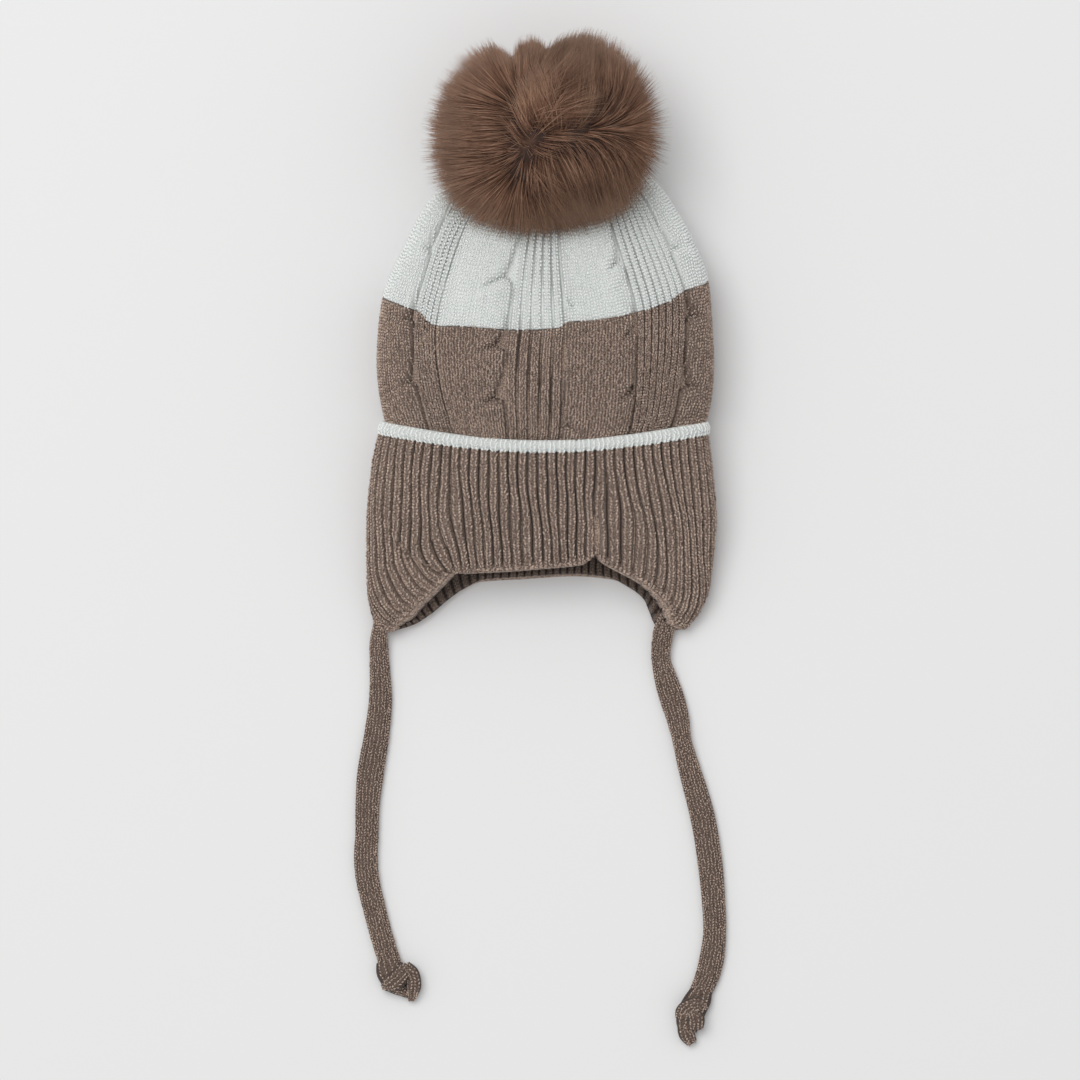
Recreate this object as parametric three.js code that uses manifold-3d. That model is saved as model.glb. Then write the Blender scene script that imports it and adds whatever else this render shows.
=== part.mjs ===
// A small child's knitted wool cap, lying on its back as it was laid out: a cable-knit crown in two
// colours, a ribbed turn-up with an ear flap at each side and a white edging, a fur pompom on the
// gathered top, and two knitted ties that lie on the surface and end in a knot.
// Millimetres. X runs across the cap, Y from the rim towards the pompom, and Z up from the surface
// that the cap lies on. The origin is on the flat of the back, at the crown's widest line.
import * as THREE from "three";
import { mergeVertices } from "three/addons/utils/BufferGeometryUtils.js";
import Module from "manifold-3d";

const wasm = await Module();
wasm.setup();

// Driving sizes
const CROWN_WIDTH = 175.5; // side to side, at the widest line
const CROWN_LENGTH = 166; // from the turn-up's edge to the gathered top
const CROWN_LOFT = 54; // thickness of the lying crown at its puffiest
const CUFF_WIDTH = 189; // side to side, lying
const CUFF_DEPTH = 71; // from the turn-up's edge at a side fold to the front rim
const FLAP_DROP = 32.5; // how far the ear flaps reach below the front rim
const CUFF_LOFT = 47; // thickness of the lying turn-up at its edge
const CUFF_OVERLAP = 1.6; // the turn-up's edge below the crown's first row, at the side folds
const EDGING_HEIGHT = 6.2;
const EDGING_SWELL = 0.9; // how far the edging stands out from the ribbing
const CROWN_WALL = 2.6;
const CUFF_WALL = 2.8;
const RIB_COUNT = 78; // ribs round the turn-up
const RIB_DEPTH = 1;
const CABLE_DEPTH = 1.7;
const CROWN_RIB_DEPTH = 1.1; // the ribs between the cables
const POMPOM_WIDTH = 127;
const POMPOM_LENGTH = 108;
const POMPOM_THICKNESS = 98;
const POMPOM_LIFT = 47; // its centre above the surface
const POMPOM_SEAT = 1; // its centre below the crown's top, along the cap
const LOCK_COUNT = 40;
const TIE_WIDTH = 12.6;
const TIE_THICKNESS = 4.6;
const KNOT_LENGTH = 19;
const CREASE_REACH = 5; // half width of a crease's valley
const PROUD_REACH = 14; // how far beside a crease the knitting stands proud
const RESTING = 5; // height over which the relief fades towards the surface it rests on
const LAYER_GAP = 0.7; // between the turn-up and the crown inside it
const SEAM_GAP = 0.35; // between pieces that are knitted or sewn together

// Finishes
const mocha = new THREE.MeshStandardMaterial({ color: 0x84705f, roughness: 0.95, metalness: 0 });
const white = new THREE.MeshStandardMaterial({ color: 0xe2e6e3, roughness: 0.95, metalness: 0 });
const fur = new THREE.MeshStandardMaterial({ color: 0x6b4c3c, roughness: 0.9, metalness: 0 });

// Sections of the crown, from the turn-up's edge to the gathered top. up, sag and tilt are shares of
// the crown's length, half of its half width, shift of its width, loft and lift of its loft. sag is
// how far a row of knitting dips at the front, tilt how far it climbs towards the right.
const CROWN_SECTIONS = [
  { up: 0.0, half: 0.923, shift: 0.015, loft: 0.775, lift: 0.085, sag: 0.042, tilt: 0.0 },
  { up: 0.088, half: 0.969, shift: 0.017, loft: 0.835, lift: 0.01, sag: 0.06, tilt: 0.008 },
  { up: 0.185, half: 0.992, shift: 0.0135, loft: 0.925, lift: 0.0, sag: 0.085, tilt: 0.016 },
  { up: 0.283, half: 1.0, shift: 0.011, loft: 0.985, lift: 0.0, sag: 0.1, tilt: 0.024 },
  { up: 0.375, half: 0.993, shift: 0.01, loft: 1.0, lift: 0.0, sag: 0.113, tilt: 0.03 },
  { up: 0.478, half: 0.965, shift: 0.012, loft: 1.0, lift: 0.0, sag: 0.124, tilt: 0.036 },
  { up: 0.608, half: 0.871, shift: 0.012, loft: 0.97, lift: 0.0, sag: 0.115, tilt: 0.03 },
  { up: 0.706, half: 0.773, shift: 0.014, loft: 0.908, lift: 0.0, sag: 0.095, tilt: 0.02 },
  { up: 0.787, half: 0.673, shift: 0.018, loft: 0.83, lift: 0.005, sag: 0.07, tilt: 0.012 },
  { up: 0.868, half: 0.53, shift: 0.018, loft: 0.72, lift: 0.03, sag: 0.04, tilt: 0.005 },
  { up: 0.927, half: 0.38, shift: 0.016, loft: 0.61, lift: 0.09, sag: 0.018, tilt: 0.0 },
  { up: 0.97, half: 0.22, shift: 0.014, loft: 0.5, lift: 0.18, sag: 0.006, tilt: 0.0 },
  { up: 1.0, half: 0.0, shift: 0.012, loft: 0.37, lift: 0.36, sag: 0.0, tilt: 0.0 },
];
const WIDEST = 0.283; // where the origin's line is, as a share of the crown's length
const COLOUR_CHANGE = 0.478;

// Sections of the turn-up, from above its edge down to the tips of the ear flaps. down is a share of
// the depth with the flaps, half of its half width, shift of its width, loft of its loft.
const CUFF_SECTIONS = [
  { down: -0.09, half: 0.928, shift: 0.009, loft: 1.0 },
  { down: 0.026, half: 0.954, shift: 0.006, loft: 1.0 },
  { down: 0.104, half: 0.968, shift: 0.004, loft: 0.98 },
  { down: 0.261, half: 0.988, shift: 0.0026, loft: 0.915 },
  { down: 0.418, half: 1.0, shift: 0.0016, loft: 0.83 },
  { down: 0.627, half: 0.9915, shift: -0.004, loft: 0.69 },
  { down: 0.783, half: 0.98, shift: -0.0074, loft: 0.56 },
  { down: 0.862, half: 0.96, shift: -0.0116, loft: 0.47 },
  { down: 0.914, half: 0.9375, shift: -0.017, loft: 0.4 },
  { down: 0.966, half: 0.897, shift: -0.024, loft: 0.34 },
  { down: 1.0, half: 0.862, shift: -0.028, loft: 0.3 },
];
const EDGE_SAG = 0.062; // dip of the edge at the front, as a share of the turn-up's depth with the flaps

// The rim, once round: across is the place on the section, -1 and 1 at the left and right folds, 0 at
// the front and 2 at the back; down is as above; rib is where the rib that ends here starts on the
// edge; heading is the way in which it arrives, in degrees from straight down, plus to the right.
const RIM = [
  { across: -1.0, down: 0.987, rib: -1.0, heading: 0 },
  { across: -0.9, down: 0.996, rib: -0.93, heading: 45 },
  { across: -0.806, down: 0.956, rib: -0.85, heading: 65 },
  { across: -0.717, down: 0.877, rib: -0.77, heading: 72 },
  { across: -0.61, down: 0.802, rib: -0.68, heading: 72 },
  { across: -0.487, down: 0.7, rib: -0.54, heading: 50 },
  { across: -0.4, down: 0.697, rib: -0.43, heading: 10 },
  { across: -0.214, down: 0.689, rib: -0.25, heading: 4 },
  { across: 0.032, down: 0.684, rib: -0.02, heading: 6 },
  { across: 0.24, down: 0.67, rib: 0.21, heading: 10 },
  { across: 0.313, down: 0.6, rib: 0.29, heading: 12 },
  { across: 0.364, down: 0.642, rib: 0.32, heading: 4 },
  { across: 0.443, down: 0.695, rib: 0.37, heading: 0 },
  { across: 0.622, down: 0.792, rib: 0.5, heading: -6 },
  { across: 0.794, down: 0.888, rib: 0.63, heading: -4 },
  { across: 0.83, down: 0.94, rib: 0.67, heading: 6 },
  { across: 0.9, down: 0.975, rib: 0.73, heading: 16 },
  { across: 1.02, down: 0.987, rib: 0.82, heading: 30 },
  { across: 1.14, down: 0.985, rib: 0.91, heading: 34 },
  { across: 1.24, down: 0.965, rib: 0.99, heading: 25 },
  { across: 1.33, down: 0.91, rib: 1.07, heading: 0 },
  { across: 1.43, down: 0.825, rib: 1.18, heading: -25 },
  { across: 1.6, down: 0.741, rib: 1.37, heading: -25 },
  { across: 1.81, down: 0.705, rib: 1.6, heading: -5 },
  { across: 2.15, down: 0.726, rib: 1.96, heading: 0 },
  { across: 2.37, down: 0.734, rib: 2.2, heading: 0 },
  { across: 2.5, down: 0.778, rib: 2.36, heading: -20 },
  { across: 2.61, down: 0.846, rib: 2.53, heading: -40 },
  { across: 2.73, down: 0.937, rib: 2.7, heading: -45 },
  { across: 2.84, down: 0.985, rib: 2.83, heading: -35 },
  { across: 3.0, down: 0.987, rib: 3.0, heading: 0 },
];

// Creases of the turn-up, each a valley from one point to the next, with the knitting above or beside
// it standing proud. depth and proud are shares of the turn-up's wall.
const CREASES = [
  { from: [-0.74, 0.55], to: [-0.6, 0.64], depth: 0.5, proud: 0.8 },
  { from: [-0.6, 0.64], to: [-0.43, 0.7], depth: 0.7, proud: 1.0 },
  { from: [0.3, 0.36], to: [0.315, 0.6], depth: 0.9, proud: 0.5 },
];

// Panels round the crown, from the left fold over the front: the place of each one's first edge on
// the section at the turn-up, at the colour change and at the top. hand is the way the cable crosses.
const PANELS = [
  { kind: "cable", low: -1.08, change: -1.08, high: -1.05, hand: -1, phase: 0.1 },
  { kind: "ribs", low: -0.68, change: -0.72, high: -0.75, ribs: 3 },
  { kind: "cable", low: -0.545, change: -0.6, high: -0.56, hand: 1, phase: 0.42 },
  { kind: "ribs", low: -0.228, change: -0.195, high: -0.15, ribs: 4 },
  { kind: "cable", low: 0.075, change: 0.11, high: 0.06, hand: -1, phase: 0.85 },
  { kind: "ribs", low: 0.485, change: 0.505, high: 0.42, ribs: 5 },
  { kind: "cable", low: 0.725, change: 0.79, high: 0.75, hand: -1, phase: 0.2 },
  { kind: "ribs", low: 1.13, change: 1.14, high: 1.1, ribs: 4 },
  { kind: "cable", low: 1.4, change: 1.41, high: 1.4, hand: 1, phase: 0.5 },
  { kind: "ribs", low: 1.86, change: 1.86, high: 1.86, ribs: 4 },
  { kind: "cable", low: 2.14, change: 2.14, high: 2.14, hand: -1, phase: 0.0 },
  { kind: "ribs", low: 2.62, change: 2.62, high: 2.65, ribs: 4 },
];
const CABLE_TURN = 33.5; // length of one crossing
const CABLE_COLUMNS = [0, 0.14, 0.38, 0.62, 0.86]; // across a cable, the first in the groove beside it

// The ties' routes as chosen by hand: x and y of the middle, z of the middle, and the width as a
// share of the tie's width. The first point is inside the flap's tip, where the tie is cut to the
// rim, and the last is at the knot.
const LEFT_TIE = [
  [-87.6, -145, 7.0, 0.72],
  [-87.8, -152, 6.2, 0.72],
  [-88.1, -160, 4.2, 0.74],
  [-87.6, -172, 2.9, 0.8],
  [-87.2, -189.5, 2.6, 0.93],
  [-89.5, -210, 2.6, 1.02],
  [-92.6, -229, 2.7, 1.08],
  [-94.2, -246, 2.8, 0.98],
  [-94.6, -262, 2.9, 0.94],
  [-95.2, -275, 3.0, 0.96],
  [-94.2, -287, 2.8, 0.94],
  [-91, -301, 2.6, 0.92],
  [-86, -320, 2.6, 0.9],
  [-81.2, -335, 3.0, 0.9],
];
const RIGHT_TIE = [
  [71, -140, 6.8, 0.85],
  [67.6, -148, 6.2, 0.85],
  [65.7, -157, 4.2, 0.8],
  [65.2, -167, 3.2, 0.76],
  [67.6, -177.5, 2.8, 0.9],
  [71.0, -188, 2.6, 1.0],
  [74.2, -199, 3.0, 0.92],
  [76.7, -212, 3.4, 0.76],
  [80, -225, 2.9, 0.86],
  [84.4, -240, 2.6, 0.96],
  [88.4, -256, 2.6, 1.0],
  [91.6, -276, 2.6, 1.0],
  [93.6, -297, 2.6, 0.95],
  [94.3, -315, 2.8, 0.92],
  [92.6, -331, 2.7, 1.0],
  [89, -343, 2.8, 0.94],
  [85.2, -351, 3.2, 0.85],
];

// Small helpers
const mix = (a, b, t) => a + (b - a) * t;
const clamp = (v, low, high) => Math.min(high, Math.max(low, v));
const smooth = (v) => {
  const t = clamp(v, 0, 1);
  return t * t * (3 - 2 * t);
};

// A table's column as a smooth line over another column: a cubic through the rows that never
// overshoots between two of them.
function curveOf(rows, at, key) {
  const x = rows.map((r) => r[at]);
  const y = rows.map((r) => r[key]);
  const slope = x.map((_, i) => {
    if (i === 0 || i === x.length - 1) return 0;
    const before = (y[i] - y[i - 1]) / (x[i] - x[i - 1]);
    const after = (y[i + 1] - y[i]) / (x[i + 1] - x[i]);
    return before * after <= 0 ? 0 : (2 * before * after) / (before + after);
  });
  slope[0] = (y[1] - y[0]) / (x[1] - x[0]);
  slope[x.length - 1] = (y.at(-1) - y.at(-2)) / (x.at(-1) - x.at(-2));
  return (v) => {
    let i = x.findIndex((edge) => edge > v) - 1;
    if (i === -2) i = x.length - 2;
    if (i < 0) i = 0;
    const span = x[i + 1] - x[i];
    const t = clamp((v - x[i]) / span, 0, 1);
    const rise = t * t * (3 - 2 * t);
    const start = t * (1 - t) * (1 - t) * span * slope[i];
    const end = t * t * (1 - t) * span * slope[i + 1];
    return mix(y[i], y[i + 1], rise) + start - end;
  };
}

function curvesOf(rows, at, keys) {
  return Object.fromEntries(keys.map((key) => [key, curveOf(rows, at, key)]));
}

// The point of a lying section at a place across it: -1 to 1 over the domed front, 1 to 3 along the
// flat back. Equal steps across are equal lengths of knitting.
const FRONT_STEPS = 48;
const FOLD_HEIGHT = 0.4; // height of the side folds, as a share of the section's thickness
const DOME = 0.88; // 1 is an ellipse, less is fuller
const BACK_ROUND = 1.15; // reach of the back's round sides, as a share of the fold's height
function sectionPoint({ half, middle, top, bottom }, across) {
  const place = ((((across + 1) % 4) + 4) % 4) - 1;
  const fold = mix(bottom, top, FOLD_HEIGHT);
  if (place <= 1) {
    const line = [];
    for (let i = 0; i <= FRONT_STEPS; i++) {
      const turn = (Math.PI * i) / FRONT_STEPS;
      const c = Math.cos(turn);
      line.push([
        -half * Math.sign(c) * Math.abs(c) ** DOME,
        fold + (top - fold) * Math.max(Math.sin(turn), 0) ** DOME,
      ]);
    }
    const reach = [0];
    for (let i = 1; i < line.length; i++)
      reach.push(reach[i - 1] + Math.hypot(line[i][0] - line[i - 1][0], line[i][1] - line[i - 1][1]));
    const wanted = ((place + 1) / 2) * reach.at(-1);
    const i = clamp(reach.findIndex((r) => r > wanted) - 1, 0, FRONT_STEPS - 1);
    const t = reach[i + 1] > wanted ? (wanted - reach[i]) / (reach[i + 1] - reach[i] || 1) : 1;
    const [from, to] = place === 1 ? [line.at(-1), line.at(-1)] : [line[i], line[i + 1]];
    return [middle + mix(from[0], to[0], t), mix(from[1], to[1], t)];
  }
  const round = Math.min((fold - bottom) * BACK_ROUND, half);
  const arc = (Math.PI / 4) * (round + fold - bottom);
  const whole = 2 * arc + 2 * (half - round);
  const way = ((place - 1) / 2) * whole;
  const mirrored = way > whole / 2;
  const run = mirrored ? whole - way : way;
  const side = mirrored ? -1 : 1;
  if (run > arc) return [middle + side * (half - round - (run - arc)), bottom];
  const turn = (Math.PI / 2) * (run / arc);
  return [middle + side * (half - round + round * Math.cos(turn)), fold - (fold - bottom) * Math.sin(turn)];
}

// Place across as a straight run over the front and back again along the back
const DIP_FALL = 1.4; // how sharply a row's dip fades towards the side folds
const sideways = (across) => {
  const place = ((((across + 1) % 4) + 4) % 4) - 1;
  return place <= 1 ? place : 2 - place;
};
const frontness = (across) => {
  const place = ((((across + 1) % 4) + 4) % 4) - 1;
  return place <= 1 ? (1 - place * place) ** DIP_FALL : 0;
};

// The crown's skin at a place across and a share of the way up
const crown = curvesOf(CROWN_SECTIONS, "up", ["half", "shift", "loft", "lift", "sag", "tilt"]);
function crownSkin(across, up) {
  const section = {
    half: (crown.half(up) * CROWN_WIDTH) / 2,
    middle: crown.shift(up) * CROWN_WIDTH,
    top: crown.loft(up) * CROWN_LOFT,
    bottom: crown.lift(up) * CROWN_LOFT,
  };
  const [x, z] = sectionPoint(section, across);
  const dip = crown.sag(up) * frontness(across) - crown.tilt(up) * sideways(across);
  return new THREE.Vector3(x, (up - WIDEST - dip) * CROWN_LENGTH, z);
}

// A point under the skin, or over it where the depth is less than 0
function under(skin, across, along, depth) {
  const STEP = 1e-3;
  const at = skin(across, along);
  if (depth === 0) return at;
  const low = Math.min(along, 1 - 2 * STEP);
  const over = skin(across + STEP, low).sub(skin(across - STEP, low));
  const up = skin(across, low + STEP).sub(skin(across, low - STEP));
  const inward = up.cross(over).normalize();
  return at.addScaledVector(inward, depth);
}

// The turn-up's skin. rib is the place across at its edge, rise the share of the way from the rim to
// the edge, and above 1 into the edging. depth is measured in from the skin.
const DEPTH_WITH_FLAPS = CUFF_DEPTH + FLAP_DROP;
const EDGE_Y = -WIDEST * CROWN_LENGTH - CUFF_OVERLAP;
const cuff = curvesOf(CUFF_SECTIONS, "down", ["half", "shift", "loft"]);
const rim = curvesOf(RIM, "rib", ["across", "down", "heading"]);
const KNIT_ROUND = CUFF_WIDTH * 0.53; // length of knitting for one step across
const RIB_BEND = 0.9; // how strongly a rib turns towards its heading
const EDGING_SHARE = EDGING_HEIGHT / DEPTH_WITH_FLAPS;

function cuffPlace(rib, rise) {
  const looped = ((((rib + 1) % 4) + 4) % 4) - 1;
  const end = { across: rim.across(looped), down: rim.down(looped) };
  const start = { across: looped, down: EDGE_SAG * frontness(looped) };
  if (rise > 1) return { across: looped, down: start.down - (rise - 1) };
  const heading = (rim.heading(looped) * Math.PI) / 180;
  const fall = (end.down - start.down) * DEPTH_WITH_FLAPS;
  const h = [rise ** 3, rise ** 2, rise];
  const fromEnd = 2 * h[0] - 3 * h[1] + 1;
  const leaving = h[0] - 2 * h[1] + h[2];
  const arriving = h[0] - h[1];
  const bend = (leaving * Math.sin(heading) * fall * RIB_BEND) / KNIT_ROUND;
  const across = mix(start.across, end.across, fromEnd) - bend;
  const run = (leaving * Math.cos(heading) + arriving) * fall;
  const down = mix(start.down, end.down, fromEnd) - run / DEPTH_WITH_FLAPS;
  return { across, down };
}

function cuffSection(down, depth) {
  const inset = clamp(down, CUFF_SECTIONS[0].down, 1);
  return {
    half: (cuff.half(inset) * CUFF_WIDTH) / 2 - depth,
    middle: cuff.shift(inset) * CUFF_WIDTH,
    top: cuff.loft(inset) * CUFF_LOFT - depth,
    bottom: depth,
  };
}

function cuffPoint(rib, rise, depth) {
  const { across, down } = cuffPlace(rib, rise);
  const [x, z] = sectionPoint(cuffSection(down, depth), across);
  return new THREE.Vector3(x, EDGE_Y - down * DEPTH_WITH_FLAPS, z);
}

// How deep the creases press the turn-up in at a place, less than 0 where it stands proud
function creaseDepth(across, down) {
  let deepest = 0;
  for (const { from, to, depth, proud } of CREASES) {
    const start = [from[0] * KNIT_ROUND, from[1] * DEPTH_WITH_FLAPS];
    const run = [to[0] * KNIT_ROUND - start[0], to[1] * DEPTH_WITH_FLAPS - start[1]];
    const here = [across * KNIT_ROUND - start[0], down * DEPTH_WITH_FLAPS - start[1]];
    const length = Math.hypot(...run);
    const along = clamp((here[0] * run[0] + here[1] * run[1]) / length ** 2, 0, 1);
    const off = Math.hypot(here[0] - along * run[0], here[1] - along * run[1]);
    const above = (here[0] * run[1] - here[1] * run[0]) / length;
    const valley = depth * Math.exp(-((off / CREASE_REACH) ** 2));
    const hill = above > 0 ? proud * Math.exp(-(((off - PROUD_REACH / 2) / (PROUD_REACH / 2)) ** 2)) : 0;
    deepest = Math.abs(valley - hill) > Math.abs(deepest) ? valley - hill : deepest;
  }
  return deepest * CUFF_WALL;
}

// Relief flattens where the cap rests on its back
const standing = (z) => smooth(z / RESTING);

// Closed bodies from rings of points. Each ring runs the same way round; neighbours may differ in
// count, but one is then twice the other. Four points are split along the shorter way across.
function bodyOf(rings, { closed = false, pole = null, innerPole = null } = {}) {
  const points = [];
  const faces = [];
  const starts = rings.map((ring) => {
    const start = points.length;
    points.push(...ring);
    return start;
  });
  const bridge = (a, b) => {
    const few = Math.min(rings[a].length, rings[b].length);
    const stepA = rings[a].length / few;
    const stepB = rings[b].length / few;
    const pick = (ring, i) => starts[ring] + (i % rings[ring].length);
    for (let i = 0; i < few; i++) {
      const [a0, a1] = [pick(a, i * stepA), pick(a, (i + 1) * stepA)];
      const [b0, b1] = [pick(b, i * stepB), pick(b, (i + 1) * stepB)];
      if (stepA === 2) {
        const am = pick(a, i * stepA + 1);
        faces.push([a0, am, b0], [am, b1, b0], [am, a1, b1]);
      } else if (stepB === 2) {
        const bm = pick(b, i * stepB + 1);
        faces.push([a0, bm, b0], [a0, a1, bm], [a1, b1, bm]);
      } else if (points[a0].distanceTo(points[b1]) < points[a1].distanceTo(points[b0])) {
        faces.push([a0, a1, b1], [a0, b1, b0]);
      } else faces.push([a0, a1, b0], [a1, b1, b0]);
    }
  };
  for (let r = 0; r + 1 < rings.length; r++) bridge(r, r + 1);
  if (closed) bridge(rings.length - 1, 0);
  const fan = (ring, tip, flip) => {
    const at = points.push(tip) - 1;
    const count = rings[ring].length;
    for (let i = 0; i < count; i++) {
      const [p, q] = [starts[ring] + i, starts[ring] + ((i + 1) % count)];
      faces.push(flip ? [q, p, at] : [p, q, at]);
    }
  };
  if (pole) fan(rings.length - 1, pole, false);
  if (innerPole) fan(0, innerPole, true);
  const geometry = new THREE.BufferGeometry().setFromPoints(points);
  geometry.setIndex(faces.flat());
  const solid = solidOf(geometry);
  return solid.volume() < 0 ? geometryOf(solidOf(turned(geometry))) : geometryOf(solid);
}

function turned(geometry) {
  const index = Array.from(geometry.index.array);
  for (let i = 0; i < index.length; i += 3) [index[i + 1], index[i + 2]] = [index[i + 2], index[i + 1]];
  return geometry.clone().setIndex(index);
}

function solidOf(geometry) {
  const bare = new THREE.BufferGeometry().setAttribute("position", geometry.getAttribute("position"));
  if (geometry.index) bare.setIndex(geometry.index);
  const merged = mergeVertices(bare, 1e-4);
  return new wasm.Manifold(
    new wasm.Mesh({
      numProp: 3,
      vertProperties: new Float32Array(merged.attributes.position.array),
      triVerts: new Uint32Array(merged.index.array),
    }),
  );
}

function geometryOf(solid) {
  const { numProp, vertProperties, triVerts } = solid.getMesh();
  const points = [];
  for (let i = 0; i < vertProperties.length; i += numProp)
    points.push(new THREE.Vector3(...vertProperties.subarray(i, i + 3)));
  return new THREE.BufferGeometry().setFromPoints(points).setIndex(Array.from(triVerts));
}

const cap = new THREE.Group();
function add(name, geometry, material) {
  const mesh = new THREE.Mesh(geometry, material);
  mesh.name = name;
  cap.add(mesh);
  return mesh;
}

// Turn-up: a ribbed band with the two ear flaps
const FIRST_RIB = PANELS[0].low;
const ribPlaces = (perRib) =>
  Array.from({ length: RIB_COUNT * perRib }, (_, i) => FIRST_RIB + (4 * i) / (RIB_COUNT * perRib));

function cuffRing(perRib, rise, depth, relief) {
  return ribPlaces(perRib).map((rib, i) => {
    const { across, down } = cuffPlace(rib, rise);
    const groove = relief && i % perRib ? RIB_DEPTH : 0;
    const flat = standing(cuffPoint(rib, rise, depth).z);
    const pressed = relief ? (groove + creaseDepth(across, down)) * flat : creaseDepth(across, down) * flat;
    return cuffPoint(rib, rise, depth + pressed);
  });
}

const CUFF_RISES = [0, 0.1, 0.24, 0.45, 0.72, 1 - SEAM_GAP / CUFF_DEPTH];
function turnUp() {
  const outer = CUFF_RISES.map((rise) => cuffRing(2, rise, 0, true));
  const inner = CUFF_RISES.map((rise) => cuffRing(1, rise, CUFF_WALL, false)).reverse();
  return bodyOf([...outer, ...inner], { closed: true });
}
const turnUpMesh = add("turn_up", turnUp(), mocha);

// White edging: a rounded welt along the turn-up's edge
const EDGING_PROFILE = [
  { rise: 0.04, depth: 0.0 },
  { rise: 0.35, depth: -1.0 },
  { rise: 0.75, depth: -0.8 },
  { rise: 1.0, depth: 0.6 },
];
function edging() {
  const ring = (rise, depth) =>
    ribPlaces(1).map((rib) => {
      const lifted = depth < 0 ? depth * standing(cuffPoint(rib, 1, 0).z) : depth;
      return cuffPoint(rib, rise, lifted);
    });
  const rings = EDGING_PROFILE.map(({ rise, depth }) =>
    ring(1 + rise * EDGING_SHARE, depth < 0 ? depth * EDGING_SWELL : depth * CUFF_WALL),
  );
  rings.push(ring(1 + EDGING_PROFILE[0].rise * EDGING_SHARE, CUFF_WALL));
  return bodyOf(rings, { closed: true });
}
add("white_edging", edging(), white);

// Crown: columns of points that follow the cables and the ribs between them
const columns = PANELS.flatMap((panel, p) => {
  const shares =
    panel.kind === "cable"
      ? CABLE_COLUMNS
      : Array.from({ length: 2 * panel.ribs }, (_, k) => k / (2 * panel.ribs));
  return shares.map((share, column) => ({ panel: p, kind: panel.kind, share, column }));
});

function columnAcross({ panel, share }, up) {
  const next = PANELS[(panel + 1) % PANELS.length];
  const wrap = panel + 1 === PANELS.length ? 4 : 0;
  const level = ({ low, change, high }) =>
    up < COLOUR_CHANGE
      ? mix(low, change, up / COLOUR_CHANGE)
      : mix(change, high, (up - COLOUR_CHANGE) / (1 - COLOUR_CHANGE));
  return mix(level(PANELS[panel]), level(next) + wrap, share);
}

// Depth of the crown's grooves at a column, 0 on a rib or a cable and full in a groove. A cable's
// strands cross at each turn, where its edge is nipped in.
const NIP_LENGTH = 0.16; // half length of a nip, as a share of one turn
const EDGE_DIP = 0.25; // dip of a cable's nipped edge between the nips, as a share of the cable's depth
const STRAND_DIP = 0.12; // dip of its strands
function grooveDepth({ panel, kind, column }, up) {
  if (kind === "ribs") return column % 2 ? 0 : CROWN_RIB_DEPTH;
  const { hand, phase } = PANELS[panel];
  const turn = ((up * CROWN_LENGTH) / CABLE_TURN + phase) % 1;
  const nip = Math.exp(-(((turn - 0.5) / NIP_LENGTH) ** 2));
  const nipped = hand > 0 ? 4 : 1;
  if (column === 0) return CABLE_DEPTH;
  return CABLE_DEPTH * (column === nipped ? mix(EDGE_DIP, 1, nip) : STRAND_DIP);
}

const GATHER = { from: 0.86, to: 0.98 }; // where the relief fades into the gathered top
const gathered = (up) => 1 - smooth((up - GATHER.from) / (GATHER.to - GATHER.from));
function crownRing(up) {
  return columns.map((column) => {
    const across = columnAcross(column, up);
    const at = crownSkin(across, up);
    return under(crownSkin, across, up, grooveDepth(column, up) * standing(at.z) * gathered(up));
  });
}

// The inside of the crown is smooth, and takes every second column
const everySecond = (ring) => ring.filter((_, i) => i % 2 === 0);
const crownInside = (up) =>
  everySecond(columns).map((column) => under(crownSkin, columnAcross(column, up), up, CROWN_WALL));

// The crown goes on inside the turn-up, from just above the edging down to the rim
const PAST_EDGING = 1.05; // as a share of the edging's height
const BAND_RISES = [...CUFF_RISES.slice(0, -1), 1, 1 + PAST_EDGING * EDGING_SHARE];
function bandRing(rise, depth) {
  return ribPlaces(1).map((rib) => {
    const { across, down } = cuffPlace(rib, rise);
    const flat = standing(cuffPoint(rib, rise, 0).z);
    const pressed = rise < 1 ? creaseDepth(across, down) * flat : 0;
    return cuffPoint(rib, rise, CUFF_WALL + LAYER_GAP + depth + pressed);
  });
}

const LOWER_UPS = [0.065, 0.15, 0.26, 0.37];
const UPPER_UPS = [0.55, 0.63, 0.71, 0.79, 0.865, 0.925, 0.968];
const HALF_SEAM = SEAM_GAP / 2 / CROWN_LENGTH;
function crownLower() {
  const ups = [...LOWER_UPS, COLOUR_CHANGE - HALF_SEAM];
  const outer = [...BAND_RISES.map((rise) => bandRing(rise, 0)), ...ups.map(crownRing)];
  const inner = [
    ...BAND_RISES.map((rise) => everySecond(bandRing(rise, CROWN_WALL))),
    ...ups.map(crownInside),
  ];
  return bodyOf([...outer, ...inner.reverse()], { closed: true });
}
const crownLowerMesh = add("crown_lower", crownLower(), mocha);

const crownTop = crownSkin(0, 1);
function crownUpper() {
  const ups = [COLOUR_CHANGE + HALF_SEAM, ...UPPER_UPS];
  const topInside = crownTop.clone().setY(crownTop.y - CROWN_WALL);
  return bodyOf([...ups.map(crownInside).reverse(), ...ups.map(crownRing)], {
    pole: crownTop,
    innerPole: topInside,
  });
}
add("crown_upper", crownUpper(), white);

// Pompom: locks of fur fused to a round head, pressed flat below and round the crown's top
const pompomCentre = new THREE.Vector3(crownTop.x, crownTop.y - POMPOM_SEAT, POMPOM_LIFT);
const pompomHalf = new THREE.Vector3(POMPOM_WIDTH / 2, POMPOM_LENGTH / 2, POMPOM_THICKNESS / 2);
const HEAD_SHARE = 0.86;
const LOCK_SIDES = 4;
const LOCK_WIDTH = 0.3; // half width of a lock's root, as a share of the pompom's radius
const LOCK_REACH = { longest: 1.03, shortest: 0.97, lengths: 5 }; // tips, as shares of that radius
const LOCK_LEAN = 0.3; // turns the locks' sides off the level
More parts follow.
